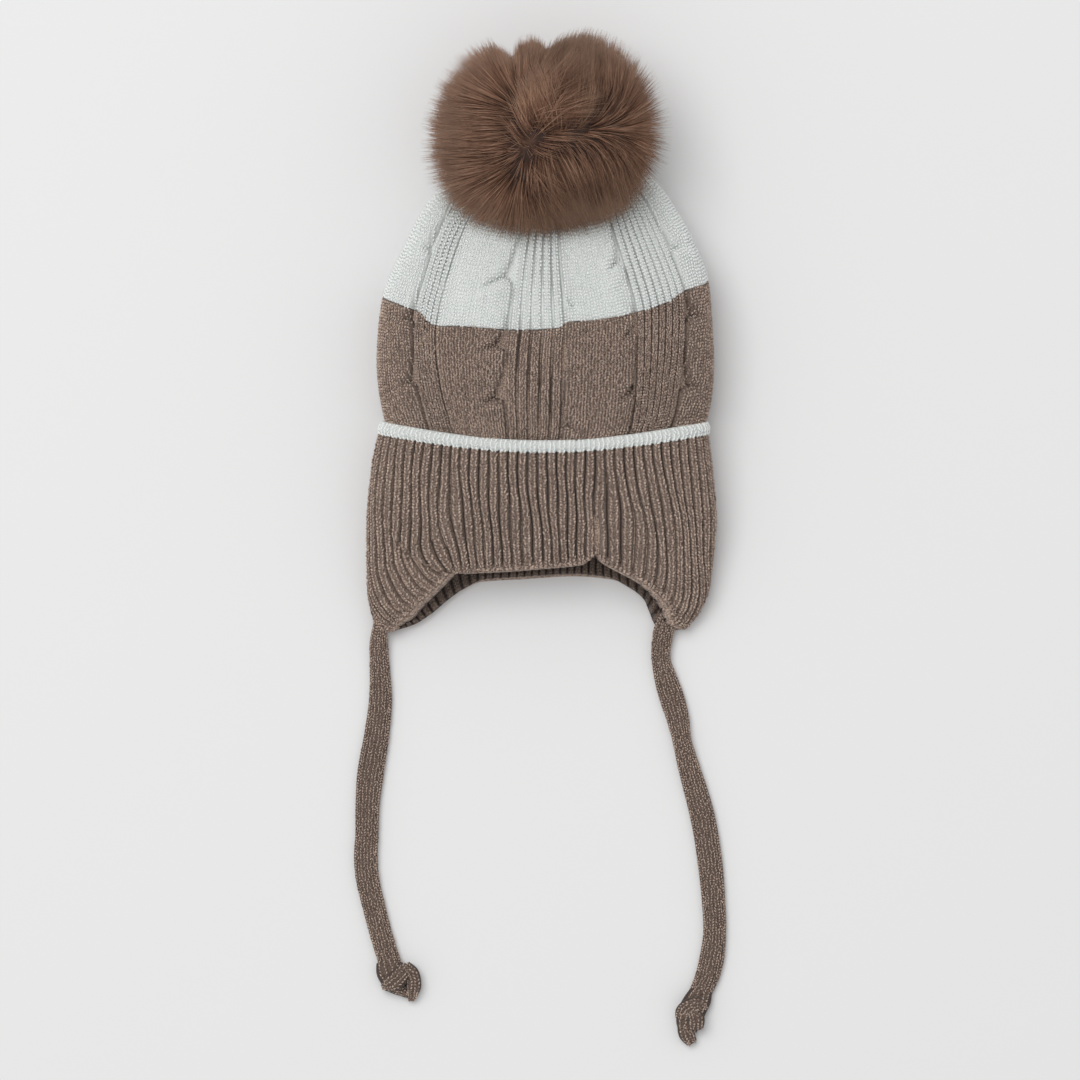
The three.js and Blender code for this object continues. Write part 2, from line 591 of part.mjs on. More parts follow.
// Sections of a lock along its way out: share of the pompom's radius and of the lock's width
const LOCK_PROFILE = [
  { out: 0.7, wide: 0.9 },
  { out: 0.92, wide: 0.7 },
];
const GOLDEN = Math.PI * (3 - Math.sqrt(5));

function lockDirection(i) {
  const z = 1 - (2 * (i + 0.5)) / LOCK_COUNT;
  const ring = Math.sqrt(1 - z * z);
  return new THREE.Vector3(ring * Math.cos(GOLDEN * i), ring * Math.sin(GOLDEN * i), z);
}

function lock(i) {
  const out = lockDirection(i);
  const side = new THREE.Vector3(-out.y, out.x, LOCK_LEAN).cross(out).normalize();
  const other = out.clone().cross(side);
  const { longest, shortest, lengths } = LOCK_REACH;
  const reach = mix(longest, shortest, ((2 * i) % lengths) / (lengths - 1));
  const place = (share, wide, k) => {
    const turn = (2 * Math.PI * k) / LOCK_SIDES + i;
    return out
      .clone()
      .multiplyScalar(share * reach)
      .addScaledVector(side, Math.cos(turn) * wide * LOCK_WIDTH)
      .addScaledVector(other, Math.sin(turn) * wide * LOCK_WIDTH)
      .multiply(pompomHalf)
      .add(pompomCentre);
  };
  const rings = LOCK_PROFILE.map(({ out: share, wide }) =>
    Array.from({ length: LOCK_SIDES }, (_, k) => place(share, wide, k)),
  );
  return solidOf(bodyOf(rings, { pole: place(1, 0, 0), innerPole: place(LOCK_PROFILE[0].out, 0, 0) }));
}

// The room that the crown takes up inside the pompom
function crownPlug() {
  const ups = UPPER_UPS.slice(1);
  const rings = ups.map((up) =>
    columns.map((column) => under(crownSkin, columnAcross(column, up), up, -SEAM_GAP)),
  );
  const tip = crownTop.clone().setY(crownTop.y + 2 * SEAM_GAP);
  const base = crownSkin(0, ups[0]).setZ(CROWN_LOFT / 2);
  return solidOf(bodyOf(rings, { pole: tip, innerPole: base }));
}

function pompom() {
  const ball = new THREE.SphereGeometry(HEAD_SHARE, 10, 6);
  ball.scale(pompomHalf.x, pompomHalf.y, pompomHalf.z);
  ball.translate(pompomCentre.x, pompomCentre.y, pompomCentre.z);
  let body = solidOf(ball);
  for (let i = 0; i < LOCK_COUNT; i++) body = body.add(lock(i));
  const room = new THREE.BoxGeometry(2 * POMPOM_WIDTH, 2 * POMPOM_LENGTH, 2 * POMPOM_THICKNESS);
  room.translate(pompomCentre.x, pompomCentre.y, POMPOM_THICKNESS);
  return geometryOf(body.intersect(solidOf(room)).subtract(crownPlug()));
}
add("pompom", pompom(), fur);

// The room that the turn-up takes up with its mouth closed, which the ties are cut back to
function cuffPlug() {
  const below = -SEAM_GAP / CUFF_DEPTH;
  const rises = [below, ...CUFF_RISES.slice(1, 4)];
  const rings = [
    bandRing(below, CROWN_WALL),
    ...rises.map((rise) => cuffRing(1, rise, -SEAM_GAP, false)),
  ];
  const middle = (rise) => cuffPoint(0, rise, CUFF_LOFT / 3);
  return solidOf(bodyOf(rings, { pole: middle(rises.at(-1)), innerPole: middle(below) }));
}

// A solid cut back until it is clear of others all round
function clearOf(solid, others, gap) {
  const steps = [-1, 0, 1];
  const ways = steps.flatMap((x) => steps.flatMap((y) => steps.map((z) => new THREE.Vector3(x, y, z))));
  let left = solid;
  for (const { geometry } of others)
    for (const way of ways) {
      const moved = geometry.clone().translate(...way.setLength(way.length() ? gap : 0));
      left = left.subtract(solidOf(moved));
    }
  return left;
}

const largest = (solid) => solid.decompose().reduce((a, b) => (a.volume() > b.volume() ? a : b));

// Ties: flat knitted tubes that lie on the surface, each with a knot at its end
const TIE_SIDES = 8;
function tie(route) {
  const points = route.map(([x, y, z]) => new THREE.Vector3(x, y, z));
  const path = new THREE.CatmullRomCurve3(points, false, "centripetal");
  const length = path.getLength();
  const steps = Math.round(length / (TIE_WIDTH * 0.8));
  const widths = curveOf(route.map((point, i) => ({ i, width: point[3] })), "i", "width");
  const rings = [];
  for (let i = 0; i <= steps; i++) {
    const t = path.getUtoTmapping(i / steps);
    const at = path.getPoint(t);
    const ahead = path.getTangent(t);
    const across = new THREE.Vector3(-ahead.y, ahead.x, 0).normalize();
    const up = ahead.clone().cross(across).negate();
    const share = widths(t * (route.length - 1));
    rings.push(
      Array.from({ length: TIE_SIDES }, (_, k) => {
        const turn = (2 * Math.PI * (k + 0.5)) / TIE_SIDES;
        return at
          .clone()
          .addScaledVector(across, (Math.cos(turn) * TIE_WIDTH * share) / 2)
          .addScaledVector(up, (Math.sin(turn) * TIE_THICKNESS) / 2);
      }),
    );
  }
  const tube = solidOf(bodyOf(rings, { pole: path.getPoint(1), innerPole: path.getPoint(0) }));
  const cut = clearOf(tube.subtract(cuffPlug()), [turnUpMesh, crownLowerMesh], SEAM_GAP);
  return geometryOf(largest(cut));
}
const leftTieMesh = add("tie_left", tie(LEFT_TIE), mocha);
const rightTieMesh = add("tie_right", tie(RIGHT_TIE), mocha);

// A knot: a round lump that the tie turns about, with the tie's short end below it. The sections run
// along the knot: share of its length, half width and half height as shares of the length, and how
// far it leans to the side.
const KNOT_SECTIONS = [
  { along: 0.0, wide: 0.2, high: 0.12, lean: 0.0 },
  { along: 0.12, wide: 0.42, high: 0.24, lean: 0.02 },
  { along: 0.34, wide: 0.52, high: 0.32, lean: 0.04 },
  { along: 0.58, wide: 0.46, high: 0.3, lean: 0.06 },
  { along: 0.76, wide: 0.28, high: 0.18, lean: 0.14 },
  { along: 0.9, wide: 0.24, high: 0.15, lean: 0.2 },
  { along: 1.0, wide: 0.12, high: 0.08, lean: 0.24 },
];
const KNOT_SIDES = 12;
function knot(route, turnDegrees, stretch, side, tieMesh) {
  const [x0, y0] = route.at(-1);
  const [x1, y1] = route.at(-2);
  const base = new THREE.Vector2(x0 - x1, y0 - y1).normalize();
  const ahead = base.clone().rotateAround(new THREE.Vector2(), (turnDegrees * Math.PI) / 180);
  const across = new THREE.Vector2(-ahead.y, ahead.x).multiplyScalar(side);
  const length = KNOT_LENGTH * stretch;
  const start = new THREE.Vector2(x0, y0).addScaledVector(base, SEAM_GAP);
  const lift = KNOT_SECTIONS[2].high * KNOT_LENGTH;
  const ring = ({ along, wide, high, lean }) =>
    Array.from({ length: KNOT_SIDES }, (_, k) => {
      const turn = (2 * Math.PI * k) / KNOT_SIDES;
      const out = (Math.cos(turn) * wide + lean) * KNOT_LENGTH;
      return new THREE.Vector3(
        start.x + ahead.x * along * length + across.x * out,
        start.y + ahead.y * along * length + across.y * out,
        lift + Math.sin(turn) * high * KNOT_LENGTH,
      );
    });
  const rings = KNOT_SECTIONS.map(ring);
  const middle = (points) =>
    points.reduce((sum, p) => sum.add(p), new THREE.Vector3()).divideScalar(points.length);
  const lump = bodyOf(rings, { pole: middle(rings.at(-1)), innerPole: middle(rings[0]) });
  return geometryOf(largest(clearOf(solidOf(lump), [tieMesh], SEAM_GAP)));
}
add("knot_left", knot(LEFT_TIE, 20, 1.0, 1, leftTieMesh), mocha);
add("knot_right", knot(RIGHT_TIE, 0, 1.3, 1, rightTieMesh), mocha);

export default cap;
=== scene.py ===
"""Blender scene of a small child's knitted cap, lying on its back on a pale floor.

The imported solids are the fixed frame. Every piece is worked out here in millimetres, in the same
frame, with the same sections as the solids, and then made in metres: the knitting as dense grids
with ribs and cables, its stitches and the fur by Geometry Nodes.
"""

from __future__ import annotations

import logging
from dataclasses import dataclass
from enum import Enum
from typing import Optional, Sequence, Union

import bpy
import numpy as np
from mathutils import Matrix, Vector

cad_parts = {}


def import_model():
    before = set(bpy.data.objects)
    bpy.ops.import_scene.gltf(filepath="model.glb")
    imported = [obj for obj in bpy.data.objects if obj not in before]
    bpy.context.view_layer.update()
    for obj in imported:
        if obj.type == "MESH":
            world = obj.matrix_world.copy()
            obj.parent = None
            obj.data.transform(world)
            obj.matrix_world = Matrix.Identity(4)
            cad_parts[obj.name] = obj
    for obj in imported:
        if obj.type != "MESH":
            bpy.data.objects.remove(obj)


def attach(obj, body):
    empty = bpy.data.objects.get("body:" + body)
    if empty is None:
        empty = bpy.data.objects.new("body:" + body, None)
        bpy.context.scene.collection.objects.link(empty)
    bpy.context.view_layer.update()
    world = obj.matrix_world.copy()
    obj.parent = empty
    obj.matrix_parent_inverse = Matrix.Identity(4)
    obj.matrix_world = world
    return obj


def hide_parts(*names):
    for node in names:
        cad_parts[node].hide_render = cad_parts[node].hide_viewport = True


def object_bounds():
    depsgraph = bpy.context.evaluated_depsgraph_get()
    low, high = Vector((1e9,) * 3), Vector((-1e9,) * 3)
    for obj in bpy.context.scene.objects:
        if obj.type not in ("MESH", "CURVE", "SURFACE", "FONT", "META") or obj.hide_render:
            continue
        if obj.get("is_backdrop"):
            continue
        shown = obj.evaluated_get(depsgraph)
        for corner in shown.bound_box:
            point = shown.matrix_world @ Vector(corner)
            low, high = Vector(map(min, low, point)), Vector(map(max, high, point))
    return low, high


LOG = logging.getLogger("cap")
MM = 0.001
Array = np.ndarray
Number = Union[float, Array]
Value = Union[float, int, str, bool, tuple, "Wire", object]


# Helpers on numbers


def mix(low: Number, high: Number, share: Number) -> Number:
    """Return the value at a share of the way from low to high."""
    return low + (high - low) * share


def smooth(value: Number) -> Number:
    """Return 0 below 0, 1 above 1 and a soft step between."""
    held = np.clip(value, 0.0, 1.0)
    return held * held * (3.0 - 2.0 * held)


def bell(value: Number) -> Number:
    """Return a soft bump, 1 at 0 and close to 0 from 2 on."""
    return np.exp(-np.square(value))


def unit(vectors: Array) -> Array:
    """Return the vectors at length 1."""
    return vectors / np.maximum(np.linalg.norm(vectors, axis=-1, keepdims=True), 1e-9)


def looped(across: Number) -> Number:
    """Return a place once round, from -1 at the left fold over the front to 3."""
    return (across + 1.0) % 4.0 - 1.0


class Curve:
    """A smooth line through values that never overshoots between two of them."""

    def __init__(self, at: Sequence[float], values: Sequence[float]) -> None:
        """Keep the line.

        Args:
            at: places along the line, rising.
            values: the value at each place.
        """
        self.at = np.asarray(at, float)
        self.values = np.asarray(values, float)
        step = np.diff(self.values) / np.diff(self.at)
        before, after = step[:-1], step[1:]
        same = before * after > 0
        inner = np.where(same, 2 * before * after / np.where(same, before + after, 1), 0)
        self.slopes = np.concatenate([step[:1], inner, step[-1:]])

    def __call__(self, place: Array) -> Array:
        """Find the values at places, held at both ends.

        Args:
            place: the places.

        Returns:
            The value at each place.
        """
        i = np.clip(np.searchsorted(self.at, place, side="right") - 1, 0, len(self.at) - 2)
        span = self.at[i + 1] - self.at[i]
        t = np.clip((place - self.at[i]) / span, 0, 1)
        start = t * (1 - t) ** 2 * span * self.slopes[i]
        end = t * t * (1 - t) * span * self.slopes[i + 1]
        return mix(self.values[i], self.values[i + 1], smooth(t)) + start - end


class Table:
    """Rows of numbers under named columns."""

    def __init__(self, columns: str, *rows: tuple) -> None:
        """Keep the rows.

        Args:
            columns: the columns' names, parted by spaces.
            rows: one tuple of numbers a row.
        """
        self.names = columns.split()
        self.rows = np.array(rows, float)

    def column(self, name: str) -> Array:
        """Return a column's values."""
        return self.rows[:, self.names.index(name)]

    def curves(self) -> dict[str, Curve]:
        """Return each later column as a smooth line over the first one."""
        return {name: Curve(self.rows[:, 0], self.column(name)) for name in self.names[1:]}


# Node trees


class Wire:
    """A node's output that takes part in Python expressions, each operator adding a Math node."""

    def __init__(self, graph: "Graph", socket: bpy.types.NodeSocket) -> None:
        """Wrap an output socket of the graph."""
        self.graph = graph
        self.socket = socket

    def _math(self, operation: str, first: Value, second: Value) -> "Wire":
        """Return the output of a Math node on two values."""
        node = self.graph.add("ShaderNodeMath", {"operation": operation}, {0: first, 1: second})
        return Wire(self.graph, node.outputs[0])

    def __add__(self, other: Value) -> "Wire":
        """Return the sum."""
        return self._math("ADD", self, other)

    def __radd__(self, other: Value) -> "Wire":
        """Return the sum with a plain number first."""
        return self._math("ADD", other, self)

    def __sub__(self, other: Value) -> "Wire":
        """Return the difference."""
        return self._math("SUBTRACT", self, other)

    def __rsub__(self, other: Value) -> "Wire":
        """Return the difference from a plain number."""
        return self._math("SUBTRACT", other, self)

    def __mul__(self, other: Value) -> "Wire":
        """Return the product."""
        return self._math("MULTIPLY", self, other)

    def __rmul__(self, other: Value) -> "Wire":
        """Return the product with a plain number first."""
        return self._math("MULTIPLY", other, self)


class Graph:
    """A node tree of a material or of Geometry Nodes."""

    def __init__(self, tree: bpy.types.NodeTree) -> None:
        """Wrap an empty node tree."""
        self.tree = tree

    def add(
        self,
        kind: str,
        settings: Optional[dict[str, Value]] = None,
        inputs: Optional[dict[Union[str, int], Value]] = None,
    ) -> bpy.types.Node:
        """Add a node.

        Args:
            kind: the node's type.
            settings: its properties, set first; "stops" gives a ramp's places and colours.
            inputs: a value or a wire for each input, by its name or number.

        Returns:
            The node.
        """
        node = self.tree.nodes.new(kind)
        for name, value in (settings or {}).items():
            if name == "stops":
                self._set_stops(node.color_ramp, value)
            else:
                setattr(node, name, value)
        for key, value in (inputs or {}).items():
            if isinstance(key, int):
                socket = node.inputs[key]
            else:
                socket = next(s for s in node.inputs if s.name == key and s.enabled)
            if isinstance(value, Wire):
                self.tree.links.new(value.socket, socket)
            else:
                socket.default_value = value
        return node

    @staticmethod
    def _set_stops(ramp: bpy.types.ColorRamp, stops: Sequence[tuple]) -> None:
        """Set a ramp's stops.

        Args:
            ramp: the ramp.
            stops: a place and a colour for each stop.
        """
        while len(ramp.elements) < len(stops):
            ramp.elements.new(1.0)
        for element, (place, colour) in zip(ramp.elements, stops):
            element.position = place
            element.color = colour

    def wire(self, node: bpy.types.Node, output: Union[str, int] = 0) -> Wire:
        """Find a node's output.

        Args:
            node: the node.
            output: the output's number, or its name among those in use.

        Returns:
            The output.
        """
        if isinstance(output, int):
            return Wire(self, node.outputs[output])
        return Wire(self, next(s for s in node.outputs if s.name == output and s.enabled))

    def blend(self, share: Value, first: Value, second: Value) -> Wire:
        """Return a mix of two colours, with a share of the second."""
        inputs = {"Factor": share, "A": first, "B": second}
        return self.wire(self.add("ShaderNodeMix", {"data_type": "RGBA"}, inputs), "Result")

    def attribute(self, name: str) -> Wire:
        """Return a mesh attribute that a material reads."""
        return self.wire(self.add("ShaderNodeAttribute", {"attribute_name": name}), "Fac")

    def noise(self, place: Wire, scale: float, detail: float, roughness: float = 0.5) -> Wire:
        """Return a noise at a scale per metre."""
        inputs = {"Vector": place, "Scale": scale, "Detail": detail, "Roughness": roughness}
        return self.wire(self.add("ShaderNodeTexNoise", {}, inputs))

    def bump(self, strength: float, distance: float, height: Wire, **under: Wire) -> Wire:
        """Return the surface's direction with a height raised on it."""
        inputs = {"Strength": strength, "Distance": distance, "Height": height, **under}
        return self.wire(self.add("ShaderNodeBump", {}, inputs))

    def surface(self, inputs: dict[str, Value]) -> None:
        """End a material's tree with a principled shader."""
        shader = self.add("ShaderNodeBsdfPrincipled", {}, inputs)
        self.add("ShaderNodeOutputMaterial", {}, {"Surface": self.wire(shader)})


def blank_material(name: str) -> tuple[bpy.types.Material, Graph]:
    """Start a material.

    Args:
        name: the material's name.

    Returns:
        The material, and its empty node tree.
    """
    made = bpy.data.materials.new(name)
    made.use_nodes = True
    made.node_tree.nodes.clear()
    return made, Graph(made.node_tree)


def linked(name: str, data: bpy.types.ID) -> bpy.types.Object:
    """Put an object with some data into the scene.

    Args:
        name: the object's name.
        data: its mesh, camera or light.

    Returns:
        The object.
    """
    made = bpy.data.objects.new(name, data)
    bpy.context.scene.collection.objects.link(made)
    return made


class GeometryTree(Graph):
    """A Geometry Nodes tree with named inputs, which ends in realized pieces with a material."""

    def __init__(self, name: str) -> None:
        """Start a tree with a geometry input and output.

        Args:
            name: the tree's name.
        """
        super().__init__(bpy.data.node_groups.new(name, "GeometryNodeTree"))
        for way in ("INPUT", "OUTPUT"):
            self.tree.interface.new_socket("Geometry", in_out=way, socket_type="NodeSocketGeometry")
        self.entry = self.tree.nodes.new("NodeGroupInput")
        self.points = Wire(self, self.entry.outputs["Geometry"])

    def size(self, name: str, kind: str = "NodeSocketFloat") -> Wire:
        """Add a named input and return it."""
        self.tree.interface.new_socket(name, in_out="INPUT", socket_type=kind)
        return Wire(self, self.entry.outputs[name])

    def read(self, name: str, kind: str = "FLOAT") -> Wire:
        """Return a named attribute of the points."""
        node = self.add("GeometryNodeInputNamedAttribute", {"data_type": kind}, {"Name": name})
        return self.wire(node, "Attribute")

    def aligned(self, name: str, settings: dict[str, Value], **turn: Wire) -> Wire:
        """Return a rotation that turns an axis towards a named vector of the points."""
        inputs = {"Vector": self.read(name, "FLOAT_VECTOR"), **turn}
        return self.wire(self.add("FunctionNodeAlignRotationToVector", settings, inputs))

    def store(self, geometry: Wire, name: str, value: Value, domain: str) -> Wire:
        """Return the geometry with a number stored under a name.

        Args:
            geometry: what the number is stored on.
            name: the attribute's name.
            value: the number.
            domain: POINT or INSTANCE.

        Returns:
            The geometry with the attribute.
        """
        settings = {"data_type": "FLOAT", "domain": domain}
        inputs = {"Geometry": geometry, "Name": name, "Value": value}
        return self.wire(self.add("GeometryNodeStoreNamedAttribute", settings, inputs))

    def scatter(self, piece: Wire, turn: Wire, scale: Wire, seed: Value) -> Wire:
        """Put a small piece on each point, each with its own shade.

        Args:
            piece: the small piece.
            turn: its rotation on each point.
            scale: its size on each point.
            seed: the seed of the shades.

        Returns:
            The realized pieces.
        """
        dots = self.wire(self.add("GeometryNodeMeshToPoints", {}, {"Mesh": self.points}))
        inputs = {"Points": dots, "Instance": piece, "Rotation": turn, "Scale": scale}
        placed = self.wire(self.add("GeometryNodeInstanceOnPoints", {}, inputs))
        shade = self.add("FunctionNodeRandomValue", {"data_type": "FLOAT"}, {"Seed": seed})
        shaded = self.store(placed, "shade", self.wire(shade, "Value"), "INSTANCE")
        return self.wire(self.add("GeometryNodeRealizeInstances", {}, {"Geometry": shaded}))

    def finish(self, geometry: Wire, material: Wire) -> None:
        """End the tree with smooth shading and the material.

        Args:
            geometry: the realized pieces.
            material: their material.
        """
        soft = self.add("GeometryNodeSetShadeSmooth", {}, {0: geometry})
        dressed = self.add(
            "GeometryNodeSetMaterial", {}, {"Geometry": self.wire(soft), "Material": material}
        )
        self.add("NodeGroupOutput", {}, {0: self.wire(dressed)})

    def grow(self, name: str, seeds: "Seeds", values: dict[str, Value]) -> bpy.types.Object:
        """Run the tree on seed points.

        Args:
            name: the new object's name.
            seeds: the points and their attributes.
            values: a value for each named input.

        Returns:
            An object with the plain mesh that the tree makes.
        """
        source = seeds.as_object(name + "_seeds")
        modifier = source.modifiers.new("grow", "NODES")
        modifier.node_group = self.tree
        for item in self.tree.interface.items_tree:
            if item.in_out == "INPUT" and item.name in values:
                modifier[item.identifier] = values[item.name]
        found = source.evaluated_get(bpy.context.evaluated_depsgraph_get())
        mesh = bpy.data.meshes.new_from_object(found)
        source.modifiers.remove(modifier)
        bpy.data.objects.remove(source)
        mesh.name = name
        return linked(name, mesh)


@dataclass
class Seeds:
    """Points in millimetres for a Geometry Nodes tree, with a vector or number for each point."""

    points: Array
    vectors: dict[str, Array]
    numbers: dict[str, Array]

    def as_object(self, name: str) -> bpy.types.Object:
        """Make a mesh object of the points, in metres, with the attributes on it.

        Args:
            name: the object's name.

        Returns:
            The object.
        """
        mesh = bpy.data.meshes.new(name)
        mesh.vertices.add(len(self.points))
        mesh.vertices.foreach_set("co", (self.points * MM).astype(np.float32).ravel())
        for key, vectors in self.vectors.items():
            layer = mesh.attributes.new(key, "FLOAT_VECTOR", "POINT")
            layer.data.foreach_set("vector", vectors.astype(np.float32).ravel())
        for key, numbers in self.numbers.items():
            layer = mesh.attributes.new(key, "FLOAT", "POINT")
            layer.data.foreach_set("value", numbers.astype(np.float32).ravel())
        return linked(name, mesh)

    @staticmethod
    def joined(parts: Sequence["Seeds"]) -> "Seeds":
        """Join several sets of points.

        Args:
            parts: the sets.

        Returns:
            One set with the points of all.
        """
        return Seeds(
            np.concatenate([part.points for part in parts]),
            {k: np.concatenate([p.vectors[k] for p in parts]) for k in parts[0].vectors},
            {k: np.concatenate([p.numbers[k] for p in parts]) for k in parts[0].numbers},
        )


def stitch_tree() -> GeometryTree:
    """Build the tree that lays one rounded grain of yarn on each point.

    Returns:
        The tree, with inputs Length, Width, Thickness, Uneven, Seed and Material.
    """
    tree = GeometryTree("knit_stitches")
    length, width, thickness = tree.size("Length"), tree.size("Width"), tree.size("Thickness")
    uneven, seed = tree.size("Uneven"), tree.size("Seed", "NodeSocketInt")
    material = tree.size("Material", "NodeSocketMaterial")
    grain = tree.add("GeometryNodeMeshUVSphere", {}, {"Segments": 3, "Rings": 3, "Radius": 0.5})
    laid = tree.aligned("along", {"axis": "Z"})
    faced = tree.aligned("out", {"axis": "X", "pivot_axis": "Z"}, Rotation=laid)
    chance = tree.add("FunctionNodeRandomValue", {"data_type": "FLOAT"}, {"Seed": seed})
    share = tree.wire(chance, "Value")
    size = tree.read("size") * (1.0 - uneven * share)
    scale = tree.add(
        "ShaderNodeCombineXYZ",
        {},
        {"X": thickness * size, "Y": width * size, "Z": length * (1.0 - uneven * (1.0 - share))},
    )
    grains = tree.scatter(tree.wire(grain, "Mesh"), faced, tree.wire(scale), seed + 1.0)
    tree.finish(grains, material)
    return tree


def stitch_sizes(
    finish: bpy.types.Material, leg: tuple[float, float, float], uneven: float, seed: int
) -> dict[str, Value]:
    """Gather the values of the stitch tree's inputs.

    Args:
        finish: the stitches' material.
        leg: the length, width and thickness of a stitch's leg, in millimetres.
        uneven: the share by which a leg may be smaller.
        seed: the seed of what differs from leg to leg.

    Returns:
        The values under the inputs' names.
    """
    length, width, thickness = (part * MM for part in leg)
    return {
        "Length": length,
        "Width": width,
        "Thickness": thickness,
        "Uneven": uneven,
        "Seed": seed,
        "Material": finish,
    }


def strand_tree() -> GeometryTree:
    """Build the tree that grows one tapered strand from each point and bends it.

    Returns:
        The tree, with inputs Thickness, Seed and Material.
    """
    tree = GeometryTree("fur_strands")
    thickness, seed = tree.size("Thickness"), tree.size("Seed", "NodeSocketInt")
    material = tree.size("Material", "NodeSocketMaterial")
    cone = tree.add(
        "GeometryNodeMeshCone",
        {"fill_type": "NONE"},
        {
            "Vertices": 3,
            "Side Segments": 2,
            "Radius Top": 0.0,
            "Radius Bottom": 0.5,
            "Depth": 1.0,
        },
    )
    place = tree.wire(tree.add("GeometryNodeInputPosition"))
    height = tree.wire(tree.add("ShaderNodeSeparateXYZ", {}, {0: place}), "Z")
    marked = tree.store(tree.wire(cone, "Mesh"), "tip", height, "POINT")
    turn = tree.aligned("along", {"axis": "Z"})
    wide = thickness * tree.read("size")
    scale = tree.add("ShaderNodeCombineXYZ", {}, {"X": wide, "Y": wide, "Z": tree.read("reach") * MM})
    strands = tree.scatter(marked, turn, tree.wire(scale), seed)
    tip = tree.read("tip")
    offset = tree.add(
        "ShaderNodeVectorMath",
        {"operation": "SCALE"},
        {"Vector": tree.read("bend", "FLOAT_VECTOR"), "Scale": tip * tip * MM},
    )
    moved = {"Geometry": strands, "Offset": tree.wire(offset)}
    tree.finish(tree.wire(tree.add("GeometryNodeSetPosition", {}, moved)), material)
    return tree


# Finishes


class Yarn(Enum):
    """The record's material slots."""

    BROWN = "brown_wool"
    WHITE = "white_wool"
    FUR = "fur"


def colour(red: float, green: float, blue: float) -> tuple[float, float, float, float]:
    """Turn a screen colour into linear light.

    Args:
        red: its red, from 0 to 255.
        green: its green.
        blue: its blue.

    Returns:
        The colour for a node, with no see-through.
    """
    parts = [part / 255.0 for part in (red, green, blue)]
    linear = [p / 12.92 if p <= 0.04045 else ((p + 0.055) / 1.055) ** 2.4 for p in parts]
    return (*linear, 1.0)


@dataclass(frozen=True)
class WoolFinish:
    """Spun wool: heathered fibres, with painted shade deep in the knitting, and a soft nap."""

    light: tuple[float, float, float, float]
    dark: tuple[float, float, float, float]
    # the colour of the painted shade in grooves, creases and between stitches
    deep: tuple[float, float, float, float]
    sheen: float = 0.2
    fleck: float = 0.95
    patch: float = 0.3
    uneven: float = 0.55
    fibres_per_metre: float = 1300.0
    patches_per_metre: float = 60.0
    roughness: float = 0.95
    fibre_gloss: float = 0.12
    # how much painted shade lies between the stitch legs of bare knitting
    painted_shade_between: float = 0.35
    stitch_height: float = 0.7 * MM
    fibre_height: float = 0.3 * MM
    slant: float = 0.5

    def material(self, name: str) -> bpy.types.Material:
        """Build the material.

        Args:
            name: the material's name.

        Returns:
            The material.
        """
        made, graph = blank_material(name)
        place = graph.wire(graph.add("ShaderNodeTexCoord"), "Object")
        fibres, patches = (
            graph.noise(place, scale, detail=3.0, roughness=0.65)
            for scale in (self.fibres_per_metre, self.patches_per_metre)
        )
        yarn = self._yarn(graph, fibres, patches)
        stitch = self._stitch(graph)
        # Painted shade: the colour is drawn towards the deep colour by the groove mark, and between
        # the stitch legs of bare knitting
        between = graph.attribute("knit") * (1.0 - stitch) * self.painted_shade_between
        gap = graph.attribute("groove") + between
        fine = graph.bump(0.6, self.fibre_height, fibres)
        graph.surface(
            {
                "Base Color": graph.blend(gap, yarn, self.deep),
                "Roughness": self.roughness - fibres * self.fibre_gloss,
                "Sheen Weight": self.sheen,
                "Sheen Roughness": 0.6,
                "Specular IOR Level": 0.1,
                "Normal": graph.bump(0.8, self.stitch_height, stitch, Normal=fine),
            }
        )
        return made

    def _yarn(self, graph: Graph, fibres: Wire, patches: Wire) -> Wire:
        """Mix the yarn's own colour: light and dark fibres, and each stitch a little its own.

        Args:
            graph: the material's tree.
            fibres: the fine noise of the fibres.
            patches: the wide noise of the yarn's uneven dye.

        Returns:
            The colour.
        """
        limits = {"Value": fibres, "From Min": 0.4, "From Max": 0.6}
        flecks = graph.wire(graph.add("ShaderNodeMapRange", {"clamp": True}, limits))
        uneven = (graph.attribute("shade") - 0.5) * self.uneven
        share = 0.5 + (flecks - 0.5) * self.fleck + (patches - 0.5) * self.patch + uneven
        return graph.blend(share, self.dark, self.light)

    def _stitch(self, graph: Graph) -> Wire:
        """Work out the height of plain knitting.

        Args:
            graph: the material's tree.

        Returns:
            The height, 0 between the stitches and 1 on their legs.
        """
        side = graph.attribute("side")
        along = graph.attribute("course") + side * self.slant
        leg, row = (
            graph.wire(graph.add("ShaderNodeMath", {"operation": "PINGPONG"}, {0: value, 1: 0.5}))
            for value in (side, along)
        )
        return leg + row


@dataclass(frozen=True)
class FurFinish:
    """Dense soft fur: dark at the root, lighter and warmer at the tip, each strand its own tone."""

    root: tuple[float, float, float, float]
    middle: tuple[float, float, float, float]
    tip: tuple[float, float, float, float]
    sheen: float = 0.05
    locks_per_metre: float = 90.0
    hairs_per_metre: float = 1400.0
    strand_tone: float = 0.5
    lock_tone: float = 0.6
    darker: float = 0.56

    def material(self, name: str) -> bpy.types.Material:
        """Build the material.

        Args:
            name: the material's name.

        Returns:
            The material.
        """
        made, graph = blank_material(name)
        place = graph.wire(graph.add("ShaderNodeTexCoord"), "Object")
        locks = graph.noise(place, self.locks_per_metre, detail=2.0)
        fine = graph.noise(place, self.hairs_per_metre, detail=2.0)
        tone = graph.attribute("shade") * self.strand_tone + locks * self.lock_tone - self.darker
        ramp = graph.add(
            "ShaderNodeValToRGB",
            {"stops": ((0.0, self.root), (0.55, self.middle), (1.0, self.tip))},
            {0: graph.attribute("tip") + tone},
        )
        graph.surface(
            {
                "Base Color": graph.wire(ramp),
                "Roughness": 0.5 + fine * 0.25,
                "Sheen Weight": self.sheen,
                "Specular IOR Level": 0.3,
                "Normal": graph.bump(0.4, 0.3 * MM, fine),
            }
        )
        return made
